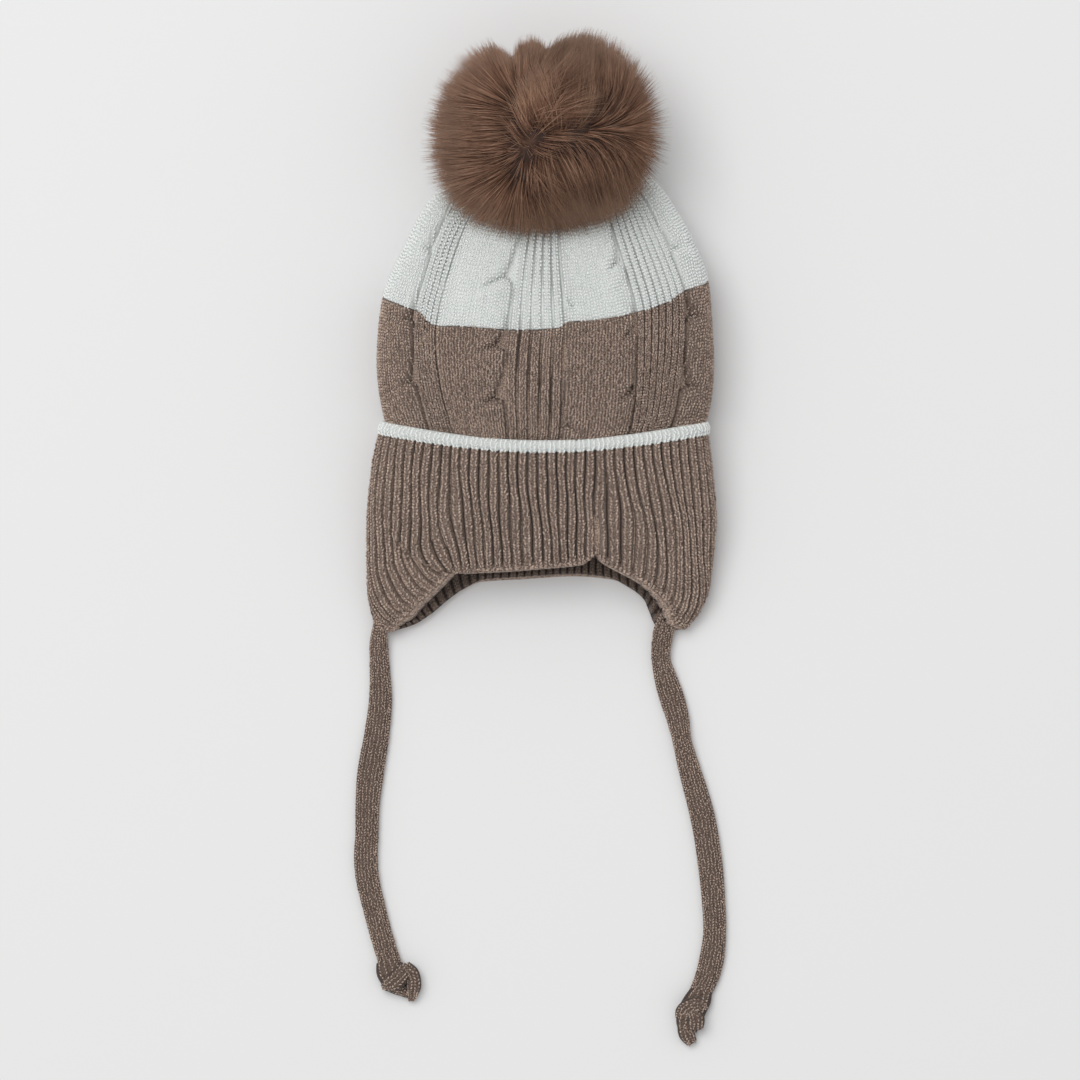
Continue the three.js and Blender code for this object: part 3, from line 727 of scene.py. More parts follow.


# Each wool's deep colour is the painted shade in its grooves and between its stitches.
BROWN_WOOL = WoolFinish(
    light=colour(214, 190, 173),
    dark=colour(118, 97, 85),
    deep=colour(50, 37, 31),
)
WHITE_WOOL = WoolFinish(
    light=colour(252, 254, 252),
    dark=colour(238, 242, 240),
    deep=colour(176, 179, 176),
    sheen=0.1,
)
POMPOM_FUR = FurFinish(
    root=colour(52, 33, 24),
    middle=colour(136, 98, 77),
    tip=colour(192, 152, 124),
)


# Pieces as meshes

# How far hand-worked stitches differ: their turn in radians and their shift in millimetres
UNEVEN_TURN, UNEVEN_SHIFT = 0.24, 0.24
LEG_LEAN = 0.42  # of a stitch's leg to the side, in radians
FLOOR_GAP = 2.2  # height over the floor below which no stitch is laid
STRAP_FLOOR_GAP = 1.2  # the same for the ties and their knots


@dataclass
class Cloth:
    """A knitted surface in millimetres: rows of points along the knitting, each once round."""

    points: Array

    def normals(self) -> Array:
        """Work out which way the surface faces.

        Returns:
            The outward direction at each point.
        """
        over = np.roll(self.points, -1, axis=1) - np.roll(self.points, 1, axis=1)
        up = np.gradient(self.points, axis=0)
        return unit(np.cross(over, up))

    def pressed(self, depth: Array) -> "Cloth":
        """Return the surface pressed in by a depth at each point."""
        return Cloth(self.points - self.normals() * depth[..., None])

    def at(self, row: Array, column: Array) -> Array:
        """Return the points at broken rows and columns."""
        return self.between(self.points, row, column)

    @staticmethod
    def between(values: Array, row: Array, column: Array) -> Array:
        """Read a grid of values between its rows and columns.

        Args:
            values: the values, rows by columns by their parts.
            row: broken rows, held at both ends.
            column: broken columns, which go once round.

        Returns:
            The value at each place.
        """
        rows, columns = values.shape[:2]
        r = np.clip(row, 0, rows - 1.001)
        r0 = r.astype(int)
        c0 = np.floor(column).astype(int)
        down = (r - r0)[..., None]
        side = (column - c0)[..., None]
        c0, c1 = c0 % columns, (c0 + 1) % columns
        low = mix(values[r0, c0], values[r0, c1], side)
        high = mix(values[r0 + 1, c0], values[r0 + 1, c1], side)
        return mix(low, high, down)

    def legs(
        self,
        row: Array,
        column: Array,
        lean: Array,
        size: Array,
        lift: float,
        chance: np.random.Generator,
    ) -> Seeds:
        """Lay the legs of stitches on the surface.

        Args:
            row: each leg's row.
            column: each leg's column.
            lean: how far its top leans to the right, in radians.
            size: its size as a share of the usual one.
            lift: height of its middle over the surface.
            chance: the source of the small differences between hand-worked stitches.

        Returns:
            The seeds of the legs.
        """
        along = unit(self.at(row + 0.5, column) - self.at(row - 0.5, column))
        out = unit(self.between(self.normals(), row, column))
        side = np.cross(along, out)
        turn = (lean + chance.normal(scale=UNEVEN_TURN, size=len(lean)))[:, None]
        turned = along * np.cos(turn) + side * np.sin(turn)
        shift = chance.normal(scale=UNEVEN_SHIFT, size=(len(lean), 1))
        middle = self.at(row, column) + out * lift + side * shift
        return Seeds(middle, {"along": turned, "out": out}, {"size": size})


def ring_faces(rings: int, columns: int, closed: bool) -> Array:
    """List the faces between neighbouring rings.

    Args:
        rings: how many rings there are.
        columns: how many points a ring has.
        closed: whether the last ring meets the first.

    Returns:
        The four corners of each face.
    """
    r = np.arange(rings if closed else rings - 1)[:, None]
    c = np.arange(columns)[None, :]
    here, over = r * columns, ((r + 1) % rings) * columns
    right = (c + 1) % columns
    faces = np.stack([here + c, here + right, over + right, over + c], axis=-1)
    return faces.reshape(-1, 4)


def shell(
    name: str,
    rings: Array,
    finish: bpy.types.Material,
    marks: dict[str, Array],
    poles: Optional[tuple[Array, Array]] = None,
) -> bpy.types.Object:
    """Make a closed shell from rings of points.

    Args:
        name: the object's name.
        rings: rings, points once round, 3; the last ring meets the first unless poles are given.
        finish: its material.
        marks: numbers for the finish, each with a value for every point of the rings.
        poles: the points that close the first and the last ring.

    Returns:
        The object, in metres.
    """
    count, columns = rings.shape[:2]
    points = rings.reshape(-1, 3)
    quads = ring_faces(count, columns, closed=poles is None)
    faces = quads.tolist()
    if poles is not None:
        first, last = len(points), len(points) + 1
        points = np.concatenate([points, np.stack(poles)])
        for c in range(columns):
            right = (c + 1) % columns
            faces.append([right, c, first])
            faces.append([(count - 1) * columns + c, (count - 1) * columns + right, last])
    mesh = bpy.data.meshes.new(name)
    mesh.from_pydata((points * MM).tolist(), [], faces)
    mesh.polygons.foreach_set("use_smooth", np.ones(len(faces), bool))
    for key, values in {"shade": np.full(rings.shape[:2], 0.5), **marks}.items():
        held = np.resize(values, len(points)).astype(np.float32)
        mesh.attributes.new(key, "FLOAT", "POINT").data.foreach_set("value", held)
    mesh.materials.append(finish)
    mesh.update()
    return linked(name, mesh)


def wool_marks(
    grooves: Array, side: Array, courses: Array, covered: Array, under: float
) -> dict[str, Array]:
    """Gather the numbers that the wool reads from a shell, with its painted shade.

    Args:
        grooves: how deep in a groove each point is, which the wool paints as shade.
        side: how far each column is from the middle of its wale.
        courses: how many courses up each ring is.
        covered: how far stitches cover each ring.
        under: how much painted shade lies between those stitches.

    Returns:
        The marks.
    """
    ones = np.ones_like(grooves)
    return {
        # groove carries the painted shade of grooves and of the base between the laid stitches; knit
        # lets the wool paint shade between the legs of its own stitch pattern
        "groove": np.clip(np.maximum(grooves, covered[:, None] * under), 0, 1),
        "knit": ones * (1 - covered[:, None]),
        "side": ones * side[None, :],
        "course": ones * courses[:, None],
    }


def settle(piece: bpy.types.Object, slot: Yarn, *nodes: str) -> bpy.types.Object:
    """Let a piece ride on the cap, and hide the solids that it stands for.

    Args:
        piece: the finished object.
        slot: the slot that its finish belongs to; not used.
        nodes: the solids that it replaces.

    Returns:
        The object.
    """
    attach(piece, "root")
    if nodes:
        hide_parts(*nodes)
    LOG.info("%s: %d faces", piece.name, len(piece.data.polygons))
    return piece


# The cap's form in millimetres, as its solids have it

CROWN_WIDTH, CROWN_LENGTH, CROWN_LOFT = 175.5, 166.0, 54.0
CUFF_WIDTH, CUFF_DEPTH, FLAP_DROP, CUFF_LOFT = 189.0, 71.0, 32.5, 47.0
EDGING_HEIGHT = 6.2
CROWN_WALL, CUFF_WALL = 2.6, 2.8
CUFF_OVERLAP, LAYER_GAP, SEAM_GAP = 1.6, 0.7, 0.35
RIB_COUNT = 78
WIDEST, COLOUR_CHANGE = 0.283, 0.478

# A section: the steps that measure its front, the height of its side folds as a share, how full its
# front is, and how far its back's round sides reach
FRONT_STEPS, FOLD_HEIGHT, DOME, BACK_ROUND = 48, 0.4, 0.88, 1.15
DIP_FALL = 1.4  # how sharply a row's dip fades towards the side folds
RESTING = 5.0  # height over which the relief fades towards the floor
FLOOR_RELIEF = 0.25  # share of a groove's depth that is left there

CROWN_SECTIONS = Table(
    "up half shift loft lift sag tilt",
    (0.0, 0.923, 0.015, 0.775, 0.085, 0.042, 0.0),
    (0.088, 0.969, 0.017, 0.835, 0.01, 0.06, 0.008),
    (0.185, 0.992, 0.0135, 0.925, 0.0, 0.085, 0.016),
    (0.283, 1.0, 0.011, 0.985, 0.0, 0.1, 0.024),
    (0.375, 0.993, 0.01, 1.0, 0.0, 0.113, 0.03),
    (0.478, 0.965, 0.012, 1.0, 0.0, 0.124, 0.036),
    (0.608, 0.871, 0.012, 0.97, 0.0, 0.115, 0.03),
    (0.706, 0.773, 0.014, 0.908, 0.0, 0.095, 0.02),
    (0.787, 0.673, 0.018, 0.83, 0.005, 0.07, 0.012),
    (0.868, 0.53, 0.018, 0.72, 0.03, 0.04, 0.005),
    (0.927, 0.38, 0.016, 0.61, 0.09, 0.018, 0.0),
    (0.97, 0.22, 0.014, 0.5, 0.18, 0.006, 0.0),
    (1.0, 0.0, 0.012, 0.37, 0.36, 0.0, 0.0),
)
CUFF_SECTIONS = Table(
    "down half shift loft",
    (-0.09, 0.928, 0.009, 1.0),
    (0.026, 0.954, 0.006, 1.0),
    (0.104, 0.968, 0.004, 0.98),
    (0.261, 0.988, 0.0026, 0.915),
    (0.418, 1.0, 0.0016, 0.83),
    (0.627, 0.9915, -0.004, 0.69),
    (0.783, 0.98, -0.0074, 0.56),
    (0.862, 0.96, -0.0116, 0.47),
    (0.914, 0.9375, -0.017, 0.4),
    (0.966, 0.897, -0.024, 0.34),
    (1.0, 0.862, -0.028, 0.3),
)
EDGE_SAG, EDGE_RISE = 0.104, 0.037  # the edge's dip at the front and rise at the folds

# The rim, once round from the left fold over the front: where the rib that ends here starts on the
# edge, the place where it ends, its heading there in degrees from straight down, and the share of
# its length over which it bends
RIM = Table(
    "rib across down heading bend",
    (-1.0, -0.87, 0.966, 60, 0.34),
    (-0.92, -0.79, 0.934, 78, 0.29),
    (-0.84, -0.702, 0.866, 86, 0.26),
    (-0.76, -0.624, 0.809, 88, 0.25),
    (-0.68, -0.546, 0.746, 88, 0.25),
    (-0.61, -0.488, 0.699, 66, 0.27),
    (-0.54, -0.452, 0.69, 20, 0.4),
    (-0.43, -0.37, 0.688, 6, 1.0),
    (-0.25, -0.214, 0.682, 4, 1.0),
    (-0.02, 0.032, 0.665, 6, 1.0),
    (0.21, 0.235, 0.645, 10, 1.0),
    (0.29, 0.313, 0.597, 12, 1.0),
    (0.32, 0.352, 0.637, 4, 1.0),
    (0.37, 0.425, 0.675, 0, 1.0),
    (0.5, 0.599, 0.755, -6, 1.0),
    (0.63, 0.754, 0.861, -4, 1.0),
    (0.69, 0.84, 0.93, 6, 1.0),
    (0.75, 0.92, 0.972, 16, 1.0),
    (0.83, 1.02, 0.988, 26, 1.0),
    (0.91, 1.11, 0.993, 30, 1.0),
    (0.99, 1.2, 0.96, 22, 1.0),
    (1.06, 1.286, 0.898, 0, 1.0),
    (1.13, 1.345, 0.84, -15, 1.0),
    (1.21, 1.433, 0.787, -25, 1.0),
    (1.37, 1.6, 0.72, -20, 1.0),
    (1.6, 1.8, 0.704, -5, 1.0),
    (1.96, 2.1, 0.72, 0, 1.0),
    (2.2, 2.32, 0.733, 0, 1.0),
    (2.33, 2.43, 0.775, -20, 1.0),
    (2.45, 2.543, 0.84, -30, 1.0),
    (2.58, 2.67, 0.92, -40, 0.8),
    (2.72, 2.81, 0.975, -40, 0.6),
    (2.85, 2.95, 0.997, -20, 0.5),
    (2.93, 3.05, 1.0, 25, 0.4),
    (3.0, 3.13, 0.966, 60, 0.4),
)
RIB_BEND = 0.9  # how strongly a rib turns towards its heading
DEPTH_WITH_FLAPS = CUFF_DEPTH + FLAP_DROP
EDGE_Y = -WIDEST * CROWN_LENGTH - CUFF_OVERLAP
KNIT_ROUND = CUFF_WIDTH * 0.53
EDGING_SHARE = EDGING_HEIGHT / DEPTH_WITH_FLAPS


def section_point(half: Array, middle: Array, top: Array, bottom: Array, across: Array) -> tuple:
    """Find points of lying sections, domed at the front and flat at the back.

    Args:
        half: half width of each section.
        middle: its middle, to the right.
        top: its highest point.
        bottom: its lowest point.
        across: the place on it, in equal lengths of knitting.

    Returns:
        The points' places to the right, and their heights.
    """
    place = looped(across)
    fold = mix(bottom, top, FOLD_HEIGHT)
    turn = np.linspace(0.0, np.pi, FRONT_STEPS + 1)
    out = -np.sign(np.cos(turn)) * np.abs(np.cos(turn)) ** DOME
    rise = np.clip(np.sin(turn), 0, None) ** DOME
    steps = np.hypot(half[..., None] * np.diff(out), (top - fold)[..., None] * np.diff(rise))
    reach = np.concatenate([np.zeros_like(steps[..., :1]), np.cumsum(steps, axis=-1)], axis=-1)
    wanted = np.clip((place + 1) / 2, 0, 1) * reach[..., -1]
    i = np.clip((reach <= wanted[..., None]).sum(-1) - 1, 0, FRONT_STEPS - 1)
    start = np.take_along_axis(reach, i[..., None], -1)[..., 0]
    length = np.take_along_axis(steps, i[..., None], -1)[..., 0]
    t = np.clip((wanted - start) / np.maximum(length, 1e-9), 0, 1)
    front_x = half * mix(out[i], out[i + 1], t)
    front_z = fold + (top - fold) * mix(rise[i], rise[i + 1], t)
    corner = np.minimum((fold - bottom) * BACK_ROUND, half)
    arc = np.pi / 4 * (corner + fold - bottom)
    whole = 2 * arc + 2 * (half - corner)
    way = (place - 1) / 2 * whole
    mirrored = way > whole / 2
    run = np.where(mirrored, whole - way, way)
    bend = np.pi / 2 * np.clip(run / np.maximum(arc, 1e-9), 0, 1)
    on_flat = run > arc
    back_x = np.where(on_flat, half - corner - (run - arc), half - corner + corner * np.cos(bend))
    back_z = np.where(on_flat, bottom, fold - (fold - bottom) * np.sin(bend))
    on_front = place <= 1
    x = middle + np.where(on_front, front_x, np.where(mirrored, -1, 1) * back_x)
    return x, np.where(on_front, front_z, back_z)


def sideways(across: Array) -> Array:
    """Return the place as a straight run over the front and back again along the back."""
    place = looped(across)
    return np.where(place <= 1, place, 2 - place)


def frontness(across: Array) -> Array:
    """Return how far at the front a place is, 0 at the folds and all along the back."""
    place = looped(across)
    return np.where(place <= 1, np.clip(1 - place * place, 0, 1) ** DIP_FALL, 0)


def standing(height: Array) -> Array:
    """Return how much of the relief is left at a height over the surface that the cap rests on."""
    return smooth(height / RESTING)


def rested(depth: Array, height: Array) -> Array:
    """Return a relief's depth as the cap's weight leaves it: grooves shallow, ridges flat."""
    return mix(np.clip(depth, 0, None) * FLOOR_RELIEF, depth, standing(height))


CROWN_CURVES = CROWN_SECTIONS.curves()
CUFF_CURVES = CUFF_SECTIONS.curves()
RIM_CURVES = RIM.curves()


def crown_skin(across: Array, up: Array) -> Array:
    """Find the crown's skin.

    Args:
        across: the places across.
        up: the shares of the way up.

    Returns:
        The points.
    """
    curve = CROWN_CURVES
    x, z = section_point(
        curve["half"](up) * CROWN_WIDTH / 2,
        curve["shift"](up) * CROWN_WIDTH,
        curve["loft"](up) * CROWN_LOFT,
        curve["lift"](up) * CROWN_LOFT,
        across,
    )
    dip = curve["sag"](up) * frontness(across) - curve["tilt"](up) * sideways(across)
    return np.stack([x, (up - WIDEST - dip) * CROWN_LENGTH, z], axis=-1)


def cuff_place(rib: Array, rise: Array) -> tuple[Array, Array]:
    """Follow the ribs of the turn-up from its rim to its edge.

    Args:
        rib: where a rib starts on the edge.
        rise: share of the way from the rim to the edge, above 1 in the edging.

    Returns:
        The place across, and the share of the depth below the edge.
    """
    place = looped(rib)
    end_across, end_down = RIM_CURVES["across"](place), RIM_CURVES["down"](place)
    start_down = EDGE_SAG * frontness(place) - EDGE_RISE
    heading, bend = np.radians(RIM_CURVES["heading"](place)), RIM_CURVES["bend"](place)
    knee_down = mix(end_down, start_down, bend)
    fall = (end_down - knee_down) * DEPTH_WITH_FLAPS
    t = np.clip(rise / bend, None, 1)
    straight = np.clip((rise - bend) / np.maximum(1 - bend, 1e-6), 0, 1) * (bend < 1)
    from_end = 2 * t**3 - 3 * t**2 + 1
    leaving = t**3 - 2 * t**2 + t
    arriving = t**3 - t**2
    swing = leaving * np.sin(heading) * fall * RIB_BEND / KNIT_ROUND
    across = mix(place, end_across, from_end) - swing
    run = (leaving * np.cos(heading) + arriving) * fall
    down = mix(knee_down, end_down, from_end) - run / DEPTH_WITH_FLAPS
    down = np.where(straight > 0, mix(knee_down, start_down, straight), down)
    return across, down - np.clip(rise - 1, 0, None)


def cuff_skin(rib: Array, rise: Array, depth: Array) -> Array:
    """Find the turn-up's skin, or the surface at a depth under it.

    Args:
        rib: where each rib starts on the edge.
        rise: the shares of the way from the rim to the edge.
        depth: the depth at each point.

    Returns:
        The points.
    """
    across, down = cuff_place(rib, rise)
    held = np.clip(down, CUFF_SECTIONS.column("down")[0], 1)
    x, z = section_point(
        CUFF_CURVES["half"](held) * CUFF_WIDTH / 2 - depth,
        CUFF_CURVES["shift"](held) * CUFF_WIDTH,
        CUFF_CURVES["loft"](held) * CUFF_LOFT - depth,
        depth + np.zeros_like(held),
        across,
    )
    return np.stack([x, EDGE_Y - down * DEPTH_WITH_FLAPS, z], axis=-1)


# The crown's panels, once round: whether it is a cable, where its left edge is at the turn-up, at
# the colour change and at the top, its ribs in the solid, and the finer ribs that are knitted
PANELS = Table(
    "cable low change high ribs lines",
    (1, -1.08, -1.08, -1.05, 0, 0),
    (0, -0.68, -0.72, -0.75, 3, 4),
    (1, -0.545, -0.6, -0.56, 0, 0),
    (0, -0.228, -0.195, -0.15, 4, 5),
    (1, 0.075, 0.11, 0.06, 0, 0),
    (0, 0.485, 0.505, 0.42, 5, 7),
    (1, 0.725, 0.79, 0.75, 0, 0),
    (0, 1.13, 1.14, 1.1, 4, 5),
    (1, 1.4, 1.41, 1.4, 0, 0),
    (0, 1.86, 1.86, 1.86, 4, 5),
    (1, 2.14, 2.14, 2.14, 0, 0),
    (0, 2.62, 2.62, 2.65, 4, 5),
)
FIRST_RIB = PANELS.column("low")[0]
CABLE_COLUMNS = (0.0, 0.14, 0.38, 0.62, 0.86)  # across a cable, the first in the groove beside it
RIB_LEGS = ((0.29, -1), (0.5, 1), (0.71, -1))  # lines of legs on a rib, and the way they lean
COLUMN_SPLIT = 6
CROWN_COLUMNS = RIB_COUNT * COLUMN_SPLIT

# Where a cable's edge is nipped by a crossing: the panel, its side (1 right, -1 left), the share of
# the way up, how far the edge is drawn in, and the length of the crease that leaves it
NOTCHES = Table(
    "panel side up inset crease",
    (0, 1, 0.225, 3.8, 5),
    (0, 1, 0.45, 3.0, 5),
    (0, 1, 0.67, 2.5, 5),
    (2, 1, 0.213, 6.0, 8),
    (2, 1, 0.42, 6.0, 10),
    (2, 1, 0.635, 4.5, 15),
    (4, -1, 0.104, 3.0, 5),
    (4, -1, 0.322, 3.2, 6),
    (4, -1, 0.54, 2.2, 6),
    (4, 1, 0.203, 4.0, 6),
    (4, 1, 0.42, 3.5, 6),
    (4, 1, 0.64, 3.0, 8),
    (6, -1, 0.18, 4.0, 8),
    (6, -1, 0.4, 3.6, 7),
    (6, -1, 0.62, 2.5, 6),
    (8, 1, 0.2, 3.5, 6),
    (8, 1, 0.42, 3.5, 6),
    (8, 1, 0.64, 3.0, 6),
    (10, -1, 0.1, 3.5, 6),
    (10, -1, 0.32, 3.5, 6),
    (10, -1, 0.54, 3.0, 6),
)


@dataclass
class Studio:
    """The camera straight above, the soft light and the pale floor."""

    frame_width: float = 583.2  # 1080 pixels of the photograph, at 0.54 mm
    middle: tuple[float, float] = (-0.54, -102.6)
    height: float = 3600.0
    focus_height: float = 25.0
    sensor: float = 36.0
    floor_size: float = 6.0
    floor_colour: tuple[float, float, float, float] = (0.82, 0.82, 0.82, 1.0)
    sky: float = 0.6
    key_power: float = 104.0
    key_size: float = 3.2
    key_place: tuple[float, float, float] = (-1.4, 1.5, 4.0)
    key_turn: tuple[float, float, float] = (-0.36, -0.34, 0.0)

    def camera(self) -> None:
        """Place the camera and make it the scene's."""
        data = bpy.data.cameras.new("camera")
        data.sensor_width = self.sensor
        data.lens = self.sensor * (self.height - self.focus_height) / self.frame_width
        made = linked("camera", data)
        made.location = (self.middle[0] * MM, self.middle[1] * MM, self.height * MM)
        bpy.context.scene.camera = made

    def floor(self) -> None:
        """Lay the floor."""
        half = self.floor_size / 2
        mesh = bpy.data.meshes.new("floor")
        corners = [(-half, -half, 0), (half, -half, 0), (half, half, 0), (-half, half, 0)]
        mesh.from_pydata(corners, [], [(0, 1, 2, 3)])
        finish, graph = blank_material("pale_floor")
        graph.surface(
            {"Base Color": self.floor_colour, "Roughness": 0.9, "Specular IOR Level": 0.0}
        )
        mesh.materials.append(finish)
        linked("floor", mesh)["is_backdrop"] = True

    def light(self) -> None:
        """Hang a wide soft light above, and let the sky fill the shadows."""
        data = bpy.data.lights.new("key", "AREA")
        data.shape = "SQUARE"
        data.size = self.key_size
        data.energy = self.key_power
        key = linked("key", data)
        key.location = self.key_place
        key.rotation_euler = self.key_turn
        world = bpy.data.worlds.new("sky")
        world.use_nodes = True
        background = world.node_tree.nodes["Background"].inputs
        background["Color"].default_value = (1, 1, 1, 1)
        background["Strength"].default_value = self.sky
        bpy.context.scene.world = world
        bpy.context.scene.view_settings.view_transform = "Standard"


# How far the colour change lies above its plain line, in millimetres, at places across the front
COLOUR_LINE = Table(
    "across rise",
    (-1.0, 1.3),
    (-0.72, -0.3),
    (-0.6, -5.9),
    (-0.465, -3.2),
    (-0.21, -1.9),
    (0.08, -1.5),
    (0.12, 0.8),
    (0.285, -0.8),
    (0.48, -2.2),
    (0.68, -3.0),
    (0.8, -0.8),
    (0.95, -2.0),
    (1.2, 0.0),
    (2.8, 0.0),
    (3.0, 1.3),
)
COLOUR_WAVE = COLOUR_LINE.curves()["rise"]


@dataclass
class Crown:
    """The cable-knit crown, its two colours in a shell each, going on inside the turn-up."""

    brown: bpy.types.Material
    white: bpy.types.Material
    stitches: GeometryTree
    rib_depth: float = 3.4
    rib_sharpness: float = 0.95
    cable_rise: float = 3.0
    edge_depth: float = 3.0
    crease_depth: float = 2.9
    crease_width: float = 1.35
    swell: float = 2.6
    cable_wales: int = 12
    course: float = 1.62
    gather_from: float = 0.86
    gather_to: float = 0.98
    first_row: float = 0.03
    last_row: float = 0.985
    row_step: float = 1.4
    wave_reach: float = 0.13
    nip_above: float = 26.0  # over which a cable's edge comes out again above a crossing
    nip_below: float = 4.0
    crease_slope: float = 0.55
    hill_off: float = 5.0  # from a crease to the top of the strand beside it
    hill_width: float = 4.2
    bevel: float = 1.4
    lip: float = 0.7  # how much deeper a cable's edge is than the groove beside it
    inner_rib: float = 1.3
    slack: float = 0.4  # how unevenly the cloth lies
    # painted shade between the laid stitches, on the brown and on the white
    painted_shade_under_brown: float = 0.65
    painted_shade_under_white: float = 0.4
    leg: tuple[float, float, float] = (2.3, 1.45, 1.4)
    purl_from: float = 0.88
    purl_share: float = 0.25
    purl_lean: float = 1.2

    def __post_init__(self) -> None:
        """Work out each column's panel and its share of the way over it."""
        panel, share = [], []
        for index, (cable, _, _, _, ribs, _) in enumerate(PANELS.rows):
            halves = 2 * int(ribs)
            shares = CABLE_COLUMNS if cable else tuple(k / halves for k in range(halves))
            for here, over in zip(shares, (*shares[1:], 1.0)):
                for split in range(COLUMN_SPLIT):
                    panel.append(index)
                    share.append(mix(here, over, split / COLUMN_SPLIT))
        self.panel = np.array(panel)
        self.share = np.array(share)
        self.is_cable = PANELS.column("cable")[self.panel] > 0
        self.ribs = PANELS.column("lines")[self.panel]
        column = np.arange(CROWN_COLUMNS)
        wale = np.where(self.is_cable, column / 2, column / COLUMN_SPLIT)
        self.side = np.abs((wale % 1) * 2 - 1)
        self.chance = np.random.default_rng(3)

    def level(self, panel: Array, up: Array) -> Array:
        """Find where panels' left edges are.

        Args:
            panel: the panels' numbers.
            up: the shares of the way up.

        Returns:
            The places across.
        """
        low, change, high = (PANELS.column(name)[panel] for name in ("low", "change", "high"))
        below = mix(low, change, up / COLOUR_CHANGE)
        above = mix(change, high, (up - COLOUR_CHANGE) / (1 - COLOUR_CHANGE))
        return np.where(up < COLOUR_CHANGE, below, above)

    def grid(self, up: Array) -> tuple[Array, Array]:
        """Place the points of some rows.

        Args:
            up: each row's share of the way up.

        Returns:
            Each point's place across, and its share of the way up.
        """
        over = (self.panel + 1) % len(PANELS.rows)
        wrap = np.where(over == 0, 4.0, 0.0)
        first = self.level(self.panel[None, :], up[:, None])
        last = self.level(over[None, :], up[:, None]) + wrap[None, :]
        across = mix(first, last, self.share[None, :])
        near = bell((up - COLOUR_CHANGE) / self.wave_reach)[:, None]
        return across, up[:, None] + near * COLOUR_WAVE(looped(across)) / CROWN_LENGTH

    def relief(self, skin: Array, up: Array) -> tuple[Array, Array]:
        """Work out how deep the knitting is pressed in.

        Args:
            skin: the crown's skin, rows by columns.
            up: each row's share of the way up.

        Returns:
            The depth at each point, and how deep in a groove it is from 0 to 1.
        """
        share = np.broadcast_to(self.share[None, :], skin.shape[:2])
        rib = 1 - np.abs(np.sin(np.pi * share * self.ribs[None, :])) ** self.rib_sharpness
        depth = np.where(self.is_cable[None, :], 0.0, rib * self.rib_depth)
        # The rib grooves are marked as groove, which the wool paints as shade.
        groove = np.where(self.is_cable[None, :], 0.0, rib)
        for panel in np.unique(self.panel[self.is_cable]):
            mine = np.nonzero(self.panel == panel)[0]
            depth[:, mine], groove[:, mine] = self._cable(panel, skin[:, mine], up)
        left = (1 - smooth((up - self.gather_from) / (self.gather_to - self.gather_from)))[:, None]
        return rested(depth * left, skin[..., 2]), groove * left

    def _cable(self, panel: int, skin: Array, up: Array) -> tuple[Array, Array]:
        """Work out a cable's relief: a domed plait whose edges are nipped where its strands cross.

        Args:
            panel: the cable's panel.
            skin: its part of the crown's skin.
            up: each row's share of the way up.

        Returns:
            The depth at each point, and how deep in a groove it is from 0 to 1.
        """
        steps = np.linalg.norm(np.diff(skin, axis=1), axis=-1)
        x = np.concatenate([np.zeros((len(up), 1)), np.cumsum(steps, axis=1)], axis=1)
        width = x[:, -1:] + steps[:, -1:]
        y = (up * CROWN_LENGTH)[:, None]
        edge = {-1: np.zeros_like(y), 1: np.zeros_like(y)}
        pressed = np.zeros_like(x)
        groove = np.zeros_like(x)
        for _, side, notch, inset, crease in NOTCHES.rows[NOTCHES.column("panel") == panel]:
            over = y - notch * CROWN_LENGTH
            above = np.clip(1 - over / self.nip_above, 0, 1) ** 1.8
            below = np.clip(1 + over / self.nip_below, 0, 1)
            edge[int(side)] = np.maximum(edge[int(side)], inset * np.where(over > 0, above, below))
            inward = (width - x if side > 0 else x) - inset
            run = np.clip(inward, 0, crease)
            line = over + self.crease_slope * run
            off = np.hypot(line * 0.85, inward - run)
            fade = 1 - smooth((inward - crease * 0.3) / (crease * 0.9))
            valley = bell(off / self.crease_width) * fade * smooth((inward + 2) / 2)
            low_hill = bell((line + self.hill_off) / self.hill_width)
            hill = low_hill + bell((line - self.hill_off) / self.hill_width)
            wide = 1 - smooth((inward - crease * 0.8) / (crease * 1.4))
            pressed += self.crease_depth * valley - self.swell * 0.6 * hill * wide
            groove = np.maximum(groove, valley)
        left, right = x - edge[-1], width - x - edge[1]
        nearest = np.minimum(left, right)
        across = np.clip(left / np.maximum(left + right, 1e-6), 0, 1)
        dome = self.cable_rise * (1 - np.abs(2 * across - 1) ** 2.4)
        outside = 1 - smooth((nearest - 0.4) / self.bevel)
        depth = mix(pressed - dome, self.edge_depth, outside)
        depth = depth + self.lip * bell((nearest - 0.2) / 0.7)
        # The cable's edges, the valleys beside it and its creases are marked as groove, which the
        # wool paints as shade.
        return depth, np.maximum(groove, outside * 0.95)

    def rows_between(self, low: float, high: float) -> Array:
        """Return even shares of the way up between two of them."""
        count = max(2, int(round((high - low) * CROWN_LENGTH / self.row_step)) + 1)
        return np.linspace(low, high, count)

    def skin(self, up: Array) -> Cloth:
        """Return the crown's plain skin at shares of the way up."""
        return Cloth(crown_skin(*self.grid(up)))

    def inside(self, up: Array) -> Array:
        """Return the crown's inner surface at shares of the way up."""
        skin = self.skin(up)
        return skin.pressed(np.full(skin.points.shape[:2], CROWN_WALL)).points

    def outside(self, up: Array) -> tuple[Cloth, Array]:
        """Work out the crown's knitted outer surface.

        Args:
            up: each row's share of the way up.

        Returns:
            The surface, and how deep in a groove each point is.
        """
        skin = self.skin(up)
        depth, groove = self.relief(skin.points, up)
        wave = np.sin(skin.points[..., 0] / 7.3 + skin.points[..., 1] / 11.0)
        depth = depth + self.slack * wave * standing(skin.points[..., 2])
        return skin.pressed(depth), groove

